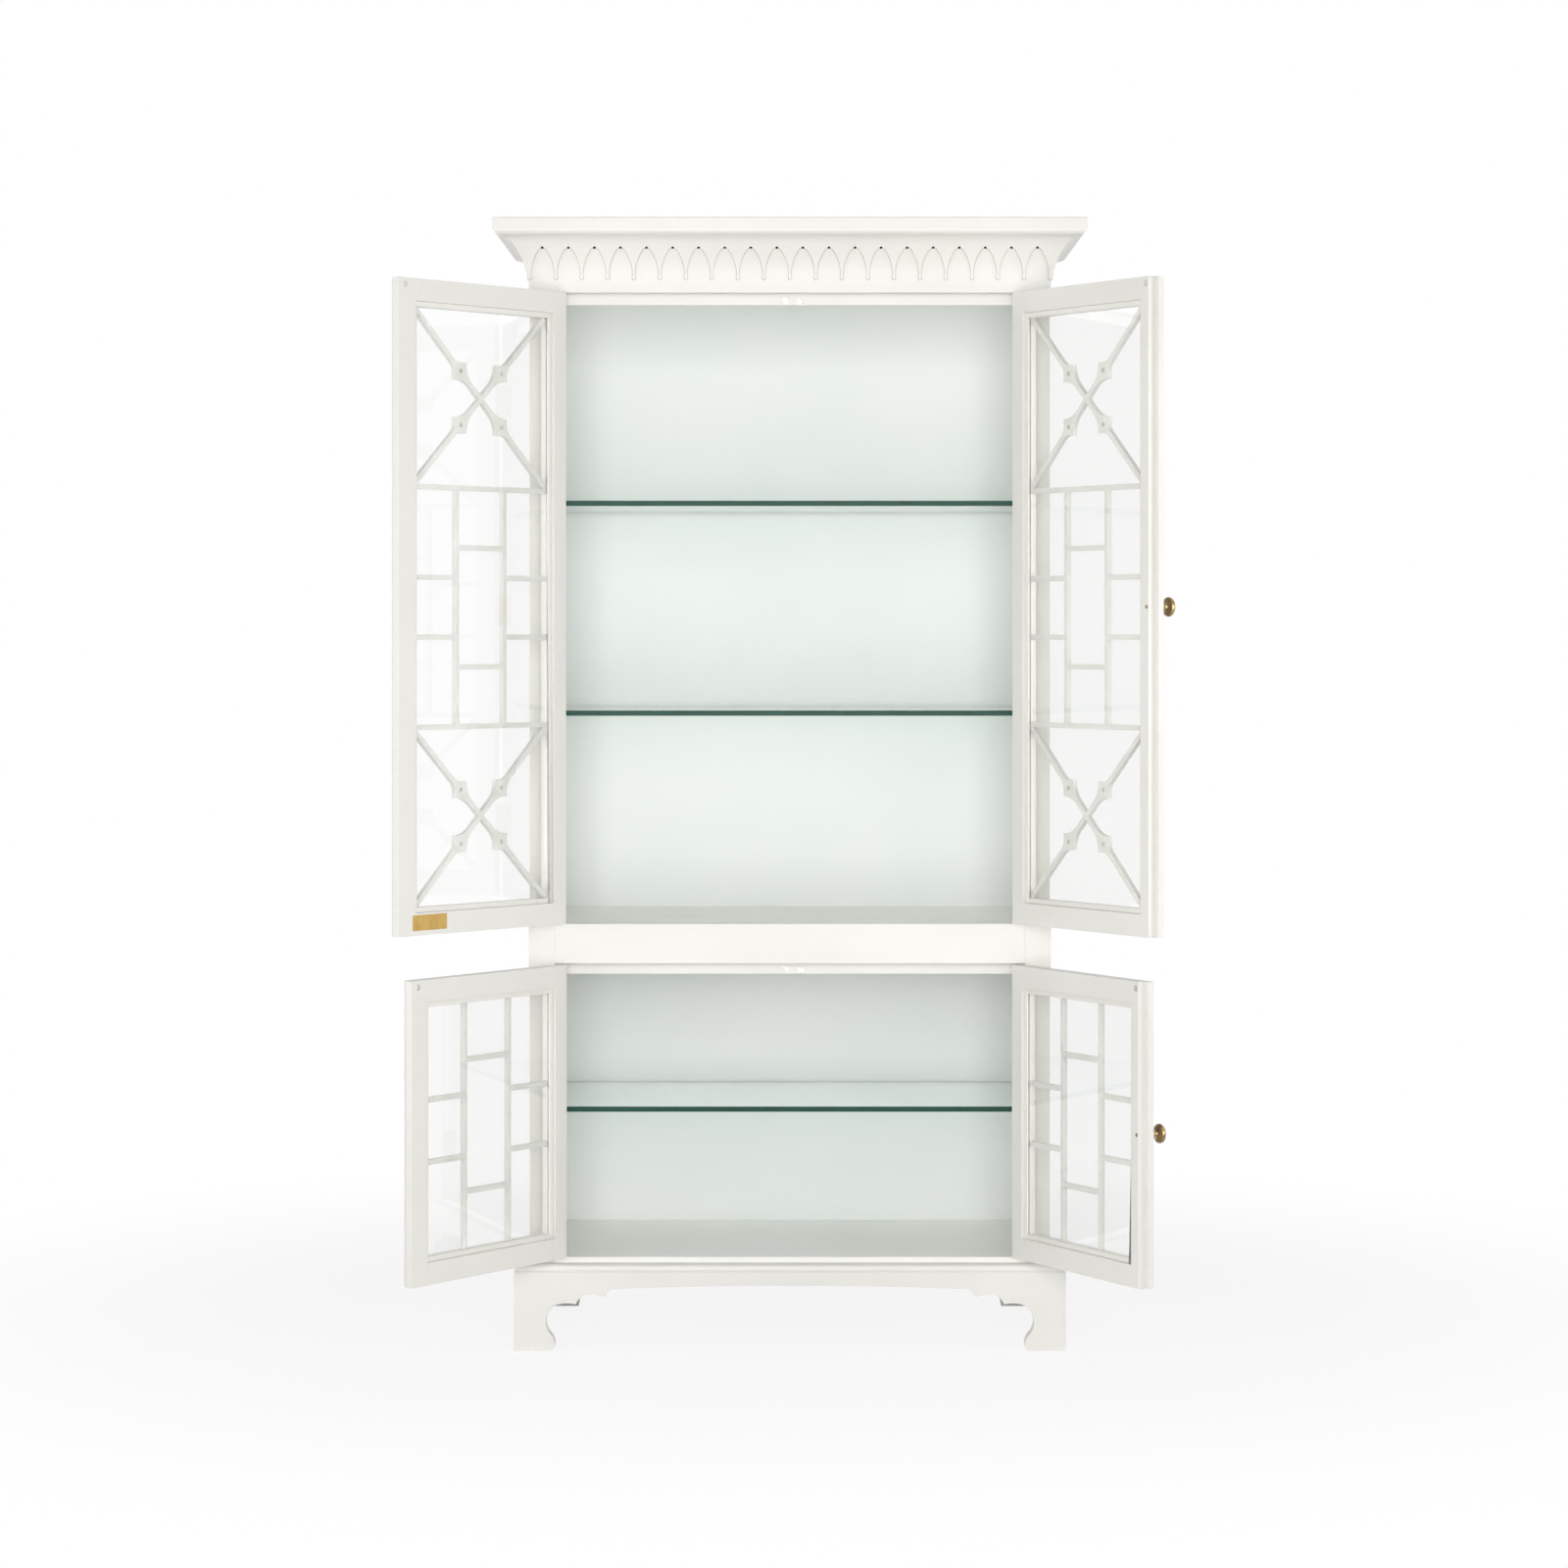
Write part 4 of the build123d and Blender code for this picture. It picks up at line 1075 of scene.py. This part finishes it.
@dataclass(frozen=True)
class Base:
    """Bracket-footed base and the moulding on it."""

    top: float = 149.0
    height: float = 15.0
    nose: float = 25.5
    quirk: float = 1.5
    rounding: float = 9.0
    arris: float = 0.8

    def section(self) -> tuple[Point, ...]:
        """Section of the base moulding, anticlockwise from its foot at the body.

        Returns:
            Projection and level of each point.
        """
        level = self.top + self.height
        nose = arc((self.nose - self.rounding, level - self.rounding), self.rounding, 0, 90, 10)
        foot = [(0.0, self.top), (self.nose - self.quirk, self.top)]
        step = [(self.nose - self.quirk, self.top + self.quirk), (self.nose, self.top + self.quirk)]
        return (*foot, *step, *nose, (0.0, level))

    def build(self) -> None:
        """Makes the base boards and their moulding."""
        Moulding("base_moulding", self.section()).build()
        for node in ("base_front", "base_left", "base_right", "base_rear"):
            ease(node, self.arris, Finish.FRONT)


# ---------------------------------------------------------------- carcass and shelves


@dataclass(frozen=True)
class Carcass:
    """Boards of the case and the face frame."""

    arris: float = 0.5
    back_arris: float = 0.2

    def build(self) -> None:
        """Eases and finishes every board of the case."""
        for node in ("face_stiles", "waist_rail", "frieze_rail", "door_stops"):
            ease(node, self.arris, Finish.FRONT)
        # The case boards take the paler copy of the white lacquer, painted light inside the case.
        for node in ("left_side_panel", "right_side_panel", "bottom_board", "upper_floor", "top_board"):
            ease(node, self.arris, Finish.CASE)
        # The back panel's pale celadon is partly its own colour and partly painted light.
        ease("back_panel", self.back_arris, Finish.BACK)


@dataclass(frozen=True)
class GlassShelves:
    """Thick glass shelves with ground and polished edges, on nickelled clips."""

    arris: float = 0.8
    clip_arris: float = 0.3
    flat_cosine: float = 0.99

    def shelf(self, node: str) -> None:
        """One shelf, its faces clear and its edges deep green.

        Args:
            node: The shelf's CAD node.
        """
        low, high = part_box(node)
        bm = bmesh.new()
        bmesh.ops.create_cube(bm, size=1.0)
        size, middle = high - low, (high + low) / 2
        for vert in bm.verts:
            vert.co = middle + Vector(a * b for a, b in zip(vert.co, size))
        level = [e for e in bm.edges if abs(e.verts[0].co.z - e.verts[1].co.z) < SAME_PLACE]
        bmesh.ops.bevel(bm, geom=level, offset=self.arris * MM, segments=1, affect="EDGES")
        for face in bm.faces:
            face.material_index = 0 if abs(face.normal.z) > self.flat_cosine else 1
        seat(finished(f"{node}_plate", bm, Finish.SHELF, Finish.SHELF_EDGE), node)

    def build(self) -> None:
        """Makes the three shelves and their clips."""
        for node in ("lower_shelf", "middle_shelf", "upper_shelf"):
            self.shelf(node)
        ease("shelf_clips", self.clip_arris, Finish.STEEL)


# ---------------------------------------------------------------- doors

PIN_TO_FACE = 3.5
DOOR_THICKNESS = 26.0
UPPER_HINGE_INSET = 160.0
LOWER_HINGE_INSET = 110.0
STRIP_FRONT = -491.5
STRIP_LEVELS = (720.0, 2000.0)
CATCH_XS = (-9.0, 20.0)


@dataclass(frozen=True)
class Door:
    """A fretted glass door, standing open about the pin of its joint."""

    name: str
    pin: Space
    side: int
    opening_deg: float
    arris: float = 0.6
    bead_arris: float = 0.8
    bar_arris: float = 0.9

    @classmethod
    def from_joint(cls, joint: dict) -> "Door":
        """Reads where a door stands from its joint.

        Args:
            joint: The joint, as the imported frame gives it.

        Returns:
            The door.
        """
        side = -1 if joint["pos_m"][0] < 0 else 1
        name = joint["child"].removesuffix("_door")
        return cls(name, tuple(joint["pos_m"]), side, joint["range_deg"][1])

    def axes(self, opening_deg: float) -> Matrix:
        """From the pin's own axes to the scene: x along the door, y from its face to its back.

        Args:
            opening_deg: How far the door stands open.

        Returns:
            The place of the pin's axes.
        """
        angle = math.radians(opening_deg)
        along = Vector((-self.side * math.cos(angle), -math.sin(angle), 0))
        inward = Vector((-self.side * math.sin(angle), math.cos(angle), 0))
        turn = Matrix((along, inward, (0, 0, 1))).transposed().to_4x4()
        return Matrix.Translation((self.pin[0], self.pin[1], 0)) @ turn

    @property
    def turned(self) -> Matrix:
        """The axes of the open door."""
        return self.axes(self.opening_deg)

    def on_back(self, along: float, level: float) -> Matrix:
        """Place on the door's back, its z out of the wood."""
        place = shift(along, PIN_TO_FACE + DOOR_THICKNESS, level)
        return self.turned @ place @ Matrix.Rotation(-math.pi / 2, 4, "X")

    def build(self) -> None:
        """Makes the wooden frame, the lattice, the pane and its bead."""
        for part in ("hinge_stile", "meeting_stile", "rails"):
            ease(f"{self.name}_{part}", self.arris, Finish.FRONT)
        ease(f"{self.name}_glazing_bead", self.bead_arris, Finish.FRONT)
        # The fret takes the darker copy of the white lacquer, painted shade.
        ease(f"{self.name}_lattice", self.bar_arris, Finish.LATTICE)
        pane = frame["nodes"][f"{self.name}_glass"]
        pane.data.materials.clear()
        pane.data.materials.append(Finish.PANE.material)


@dataclass(frozen=True)
class Hinge:
    """Butt hinge let into the edges of stile and door, its loose pin ending in button finials.

    Sizes are in the pin's own axes: x along the door, y from its face to its back. A frame leaf
    lies at negative x, a door leaf at positive x.
    """

    height: float = 64.0
    leaf_start: float = 3.5
    leaf_end: float = 20.5
    face: float = 1.0
    thickness: float = 1.5
    knuckle: float = 3.0
    easing: float = 0.3
    gap: float = 0.3
    corner: float = 2.5
    screws: tuple[Point, ...] = ((14.5, 9.0), (10.0, 32.0), (14.5, 55.0))
    screw_radius: float = 2.5
    slot: float = 0.6
    proud: float = 0.12
    sunk: float = 0.4

    def spans(self, on_door: bool) -> list[Point]:
        """Foot and top of each knuckle of one leaf.

        Args:
            on_door: Whether it is the door's half and not the frame's.

        Returns:
            The spans in millimetres, from the foot up.
        """
        third, spare = self.height / 3, self.gap / 2
        if on_door:
            return [(third + spare, 2 * third - spare)]
        return [(0.0, third - spare), (2 * third + spare, self.height)]

    def leaf(self, on_door: bool) -> Mesh:
        """The flat leaf with its tongues, round at the far corners.

        Args:
            on_door: Whether it is the door's half and not the frame's.

        Returns:
            A closed mesh.
        """
        far, turn = self.leaf_end - self.corner, self.corner
        outline = arc((far, turn), turn, -90, 0, 4) + arc((far, self.height - turn), turn, 0, 90, 4)
        outline.append((self.leaf_start, self.height))
        for low, high in reversed(self.spans(on_door)):
            outline += [(self.leaf_start, high), (0.0, high), (0.0, low), (self.leaf_start, low)]
        outline.append((self.leaf_start, 0.0))
        side = 1 if on_door else -1
        low, high = sorted((side * self.face, side * (self.face + self.thickness)))
        return prism(list(dict.fromkeys(outline)), low, high)

    def screw(self, place: Point, on_door: bool) -> Iterable[Mesh]:
        """A slotted countersunk head, just proud of the leaf's face.

        Args:
            place: Where its middle lies along the door and above the leaf's foot.
            on_door: Whether it is the door's half and not the frame's.

        Yields:
            The seat and the two halves of the head.
        """
        towards = -1 if on_door else 1
        top = -towards * self.face + towards * self.proud
        seat_level, floor = top - towards * self.thickness / 2, top - towards * self.sunk
        yield prism(arc(place, self.screw_radius, 0, 345, 23), *sorted((seat_level, floor)))
        reach = self.screw_radius - 0.05
        lip = math.degrees(math.asin(self.slot / 2 / reach))
        for start in (lip, 180 + lip):
            half = arc(place, reach, start, start + 180 - 2 * lip, 12)
            yield prism(half, *sorted((floor - towards * 0.05, top)))

    def half(self, on_door: bool) -> Mesh:
        """One leaf with its knuckles and screws, and on the frame the pin's finials.

        Args:
            on_door: Whether it is the door's half and not the frame's.

        Returns:
            The mesh in the pin's axes.
        """
        bm = self.leaf(on_door)
        r = self.knuckle
        for low, high in self.spans(on_door):
            foot = [(0.0, low), (r - self.easing, low), (r, low + self.easing)]
            top = [(r, high - self.easing), (r - self.easing, high), (0.0, high)]
            absorb(bm, lathe(foot + top, 24))
        for place in self.screws:
            absorb(bm, *self.screw(place, on_door))
        if not on_door:
            collar = [(0.0, -0.1), (2.4, -0.1), (2.4, 0.5), (1.4, 0.9)]
            button = [(1.9, 1.7), (1.7, 2.6), (0.9, 3.2), (0.0, 3.4)]
            finial = lathe(collar + button, 20)
            lower = moved(finial.copy(), Matrix.Diagonal((1, 1, -1, 1)))
            absorb(bm, moved(finial, shift(z=self.height)), lower)
        return bm

    def hang(self, door: Door, on_door: bool) -> Piece:
        """One door's row of leaves, as a scratch object in the scene's axes.

        Args:
            door: The door.
            on_door: Whether it is the door's half and not the frame's.

        Returns:
            The row.
        """
        low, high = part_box(f"{door.name}_hinge_stile")
        count, inset = (3, UPPER_HINGE_INSET) if door.name.startswith("upper") else (2, LOWER_HINGE_INSET)
        first = low.z / MM + inset - self.height / 2
        step = ((high.z - low.z) / MM - 2 * inset) / (count - 1)
        row = Row.of(self.half(on_door), count, (0, 0, first), (0, 0, step), 0, Finish.HINGE)
        place = door.turned if on_door else door.axes(0.0)
        bm = moved(joined([row]), place)
        shade(bm)
        return finished(f"{door.name}_leaves", bm, Finish.HINGE)

    def build(self, doors: Iterable[Door]) -> None:
        """Hangs every door and screws the frame leaves to the stiles.

        Args:
            doors: The four doors.
        """
        frame_rows = []
        for door in doors:
            seat(self.hang(door, True), f"{door.name}_hinge_leaves")
            frame_rows.append(self.hang(door, False))
        bm = joined(frame_rows)
        shade(bm)
        seat(finished("frame_leaves", bm, Finish.HINGE), "frame_hinge_leaves")


@dataclass(frozen=True)
class Catches:
    """Round touch catches on the door stops and the round strikes that meet them."""

    radius: float = 6.0
    catch_height: float = 1.2
    strike_height: float = 0.8
    rim: float = 0.4
    land: float = 1.6
    slope: float = 0.5
    dish: float = 0.35
    screw_radius: float = 2.3

    def disc(self, height: float) -> Mesh:
        """A dished disc with a domed screw in its middle.

        Args:
            height: How far it stands off the wood.

        Returns:
            The mesh about its own axis.
        """
        r, screw = self.radius, self.screw_radius
        inner, floor = r - self.land, height - self.dish
        rim = [(0.0, 0.0), (r, 0.0), (r, height - self.rim), (r - self.rim, height), (inner, height)]
        dish = [(inner - self.slope, floor), (screw + 0.3, floor), (screw, floor + 0.05)]
        dome = [(screw - 0.4, floor + 0.2), (screw * 0.55, height - 0.08), (0.0, height)]
        return lathe(rim + dish + dome, 40)

    def build(self, doors: Iterable[Door]) -> None:
        """Sets a pair of catches over each opening and a strike on each door.

        Args:
            doors: The four doors.
        """
        rows = []
        for level in STRIP_LEVELS:
            disc = moved(self.disc(self.catch_height), Matrix.Rotation(math.pi / 2, 4, "X"))
            start, step = (CATCH_XS[0], STRIP_FRONT, level), (CATCH_XS[1] - CATCH_XS[0], 0, 0)
            rows.append(Row.of(disc, 2, start, step, 0, Finish.STEEL))
        bm = joined(rows)
        shade(bm)
        seat(finished("touch_catches", bm, Finish.STEEL), "catches")
        for door in doors:
            node = f"{door.name}_strike"
            low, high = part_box(node)
            middle = door.turned.inverted() @ ((low + high) / 2)
            place = door.on_back(middle.x / MM, middle.z / MM)
            bm = moved(self.disc(self.strike_height), place)
            shade(bm)
            seat(finished(f"{node}_disc", bm, Finish.STEEL), node)


@dataclass(frozen=True)
class NamePlate:
    """Bare brass plate with rounded corners, held by a round-headed pin near either end."""

    node: str = "name_plate"
    corner: float = 1.6
    thickness: float = 1.0
    arris: float = 0.25
    pin_inset: float = 4.5
    pin_radius: float = 1.3

    def build(self, door: Door) -> None:
        """Cuts the plate to its node's size and pins it to the door's back.

        Args:
            door: The door that it is on.
        """
        mesh = frame["nodes"][self.node].data
        back = door.turned.inverted()
        corners = [back @ vert.co for vert in mesh.vertices]
        near, far = (pick(c.x for c in corners) / MM for pick in (min, max))
        low, high = (pick(c.z for c in corners) / MM for pick in (min, max))
        middle, r = (low + high) / 2, self.corner
        outline = []
        for start, x, z in (
            (-90, far - r, low + r),
            (0, far - r, high - r),
            (90, near + r, high - r),
            (180, near + r, low + r),
        ):
            outline += arc((x, z), r, start, start + 90, 5)
        surface = PIN_TO_FACE + DOOR_THICKNESS
        bm = prism(outline, -surface - self.thickness, -surface)
        soften(bm, self.arris)
        moved(bm, Matrix(((0, 1, 0, 0), (-1, 0, 0, 0), (0, 0, 1, 0), (0, 0, 0, 1))))
        moved(bm, door.turned)
        head = self.pin_radius
        for along in (near + self.pin_inset, far - self.pin_inset):
            dome = arc((0.0, -head * 0.55), head * 1.14, 28.8, 90, 5)
            pin = lathe([(0.0, 0.0), *dome[:-1], (0.0, dome[-1][1])], 18)
            place = door.on_back(along, middle) @ shift(z=self.thickness)
            absorb(bm, moved(pin, place))
        shade(bm)
        seat(finished("plate_on_pins", bm, Finish.PLATE), self.node)


@dataclass(frozen=True)
class Knob:
    """Turned brass knob on a right-hand door, with its rosette, waist and domed head."""

    node: str
    door: Door
    level: float
    along: float = 430.0
    sides: int = 64
    sharp_deg: float = 32.0

    def profile(self) -> list[Point]:
        """Radius and height above the door's face, from the seat to the crown of the dome.

        Returns:
            The points in millimetres.
        """
        rosette = [(0.0, 0.0), (8.5, 0.0), (8.5, 1.2), (8.0, 2.0), (6.6, 2.5)]
        waist = [(5.4, 3.4), (4.8, 5.5), (4.7, 8.5), (4.9, 11.5), (5.9, 14.2), (8.0, 16.4), (11.5, 18.2)]
        head = [(15.2, 19.7), (17.2, 21.2), (17.9, 23.0), (18.0, 24.2), (17.5, 25.8), (16.3, 27.0)]
        fillet = [(14.9, 27.5), (14.3, 27.7)]
        dome = [(13.4, 28.5), (10.8, 29.8), (7.4, 30.6), (3.6, 30.95), (0.0, 31.0)]
        return rosette + waist + head + fillet + dome

    def screw(self) -> list[Point]:
        """Radius and height of the knob's screw, from its domed head on the door's back."""
        head = [(0.0, -1.3), (1.2, -1.3), (2.6, -1.05), (3.5, -0.3), (3.5, 0.0)]
        return head + [(2.0, 0.0), (2.0, DOOR_THICKNESS - 0.2), (0.0, DOOR_THICKNESS - 0.2)]

    def build(self) -> None:
        """Turns the knob and its screw, and sets them on the door."""
        bm = lathe(self.profile(), self.sides)
        absorb(bm, moved(lathe(self.screw(), 24), shift(z=-DOOR_THICKNESS)))
        shade(bm, self.sharp_deg)
        out = Matrix.Rotation(math.pi / 2, 4, "X")
        moved(bm, self.door.turned @ shift(self.along, PIN_TO_FACE, self.level) @ out)
        seat(finished(f"{self.node}_turned", bm, Finish.KNOB), self.node)


# ---------------------------------------------------------------- studio


@dataclass(frozen=True)
class Softbox:
    """A square lamp aimed at the middle of the cabinet."""

    name: str
    place: Space
    size: float
    watts: float
    aim: Space = (0.0, -0.3, 1.2)

    def build(self) -> None:
        """Hangs the lamp, out of the camera's sight."""
        light = bpy.data.lights.new(self.name, "AREA")
        light.size = self.size
        light.energy = self.watts
        lamp = linked(self.name, light)
        lamp.location = self.place
        lamp.rotation_euler = (Vector(self.aim) - Vector(self.place)).to_track_quat("-Z", "Y").to_euler()
        lamp.visible_camera = False


@dataclass(frozen=True)
class Studio:
    """Pale floor, soft light from the front and a level camera."""

    camera_y: float = -8.467
    camera_z: float = 1.3625
    lens: float = 95.62
    sensor: float = 36.0
    shift: Point = (-0.00375, -0.0956)
    floor_radius: float = 40.0
    floor_sides: int = 96
    floor_drop: float = 0.5
    floor_colour: str = "#F4F4F4"
    floor_white: float = 0.86
    shadow_reach: Point = (0.8, 2.4)
    sky: str = "#FFFFFF"
    ambient: float = 0.3
    softboxes: tuple[Softbox, ...] = (
        Softbox("front_softbox", (0.0, -6.5, 2.1), 2.2, 99.0),
        Softbox("left_softbox", (-6.2, -3.1, 1.5), 2.4, 106.0),
        Softbox("right_softbox", (6.2, -3.1, 1.5), 2.4, 106.0),
        Softbox("low_fill", (0.0, -4.5, 0.6), 1.8, 44.0),
    )

    def sees_background(self, tree: Tree) -> Socket:
        """1 for a ray that shows the background as such: from the camera, a gloss or through glass.

        Args:
            tree: The tree of the floor or of the world.

        Returns:
            The socket with the 1 or 0.
        """
        path = add_node(tree, "ShaderNodeLightPath").outputs
        direct = combined(tree, "MAXIMUM", path["Is Camera Ray"], path["Is Glossy Ray"])
        return combined(tree, "MAXIMUM", direct, path["Is Transmission Ray"])

    def floor_shader(self, tree: Tree) -> Socket:
        """Adds matt white to a tree, paler with distance until it is plain white.

        Args:
            tree: The material's tree.

        Returns:
            The socket with the shader.
        """
        matt = add_node(tree, "ShaderNodeBsdfDiffuse", {"Color": linear(self.floor_colour)}).outputs[0]
        white = add_node(tree, "ShaderNodeEmission", {"Strength": 1.0}).outputs[0]
        place = add_node(tree, "ShaderNodeTexCoord").outputs["Object"]
        reach = add_node(tree, "ShaderNodeVectorMath", {0: place}, operation="LENGTH").outputs["Value"]
        target = (self.floor_white, 1.0)
        paling = ranged(tree, reach, self.shadow_reach, target, interpolation_type="SMOOTHSTEP")
        share = combined(tree, "MULTIPLY", self.sees_background(tree), paling)
        return either(tree, share, matt, white)

    def floor(self) -> None:
        """A matt white floor that keeps a trace of the cabinet's shadow and runs out to plain white."""
        bm = bmesh.new()
        bmesh.ops.create_circle(bm, cap_ends=True, radius=self.floor_radius, segments=self.floor_sides)
        floor = finished("studio_floor", bm)
        floor.data.materials.append(new_material("Matt white studio floor", self.floor_shader))
        floor.location.z = -self.floor_drop * MM

    def world(self) -> None:
        """White surroundings that light the cabinet evenly at a lower strength."""
        world = bpy.data.worlds.new("studio_white")
        world.use_nodes = True
        tree = world.node_tree
        tree.nodes.clear()
        lit, seen = (
            add_node(tree, "ShaderNodeBackground", {"Color": linear(self.sky), "Strength": power}).outputs[0]
            for power in (self.ambient, 1.0)
        )
        surface = either(tree, self.sees_background(tree), lit, seen)
        add_node(tree, "ShaderNodeOutputWorld", {"Surface": surface})
        bpy.context.scene.world = world

    def camera(self) -> None:
        """A level camera, square to the cabinet's front."""
        data = bpy.data.cameras.new("studio_camera")
        data.lens = self.lens
        data.sensor_width = self.sensor
        data.shift_x, data.shift_y = self.shift
        data.clip_end = 200.0
        camera = linked("studio_camera", data)
        camera.location = (0.0, self.camera_y, self.camera_z)
        camera.rotation_euler = (math.pi / 2, 0, 0)
        bpy.context.scene.camera = camera

    def build(self) -> None:
        """Sets up the floor, the light and the camera."""
        bpy.context.scene.view_settings.view_transform = "Standard"
        self.floor()
        self.world()
        for softbox in self.softboxes:
            softbox.build()
        self.camera()


def main() -> None:
    """Dresses the cabinet piece by piece and sets up the studio."""
    logging.basicConfig(level=logging.INFO, format="%(name)s %(message)s")
    Base().build()
    Carcass().build()
    Cornice().build()
    GlassShelves().build()
    doors = {joint["child"]: Door.from_joint(joint) for joint in frame["joints"]}
    for door in doors.values():
        door.build()
    Knob("upper_knob", doors["upper_right_door"], 1412.0).build()
    Knob("lower_knob", doors["lower_right_door"], 454.0).build()
    Hinge().build(doors.values())
    Catches().build(doors.values())
    NamePlate().build(doors["upper_left_door"])
    Studio().build()


if __name__ == "__main__":
    main()
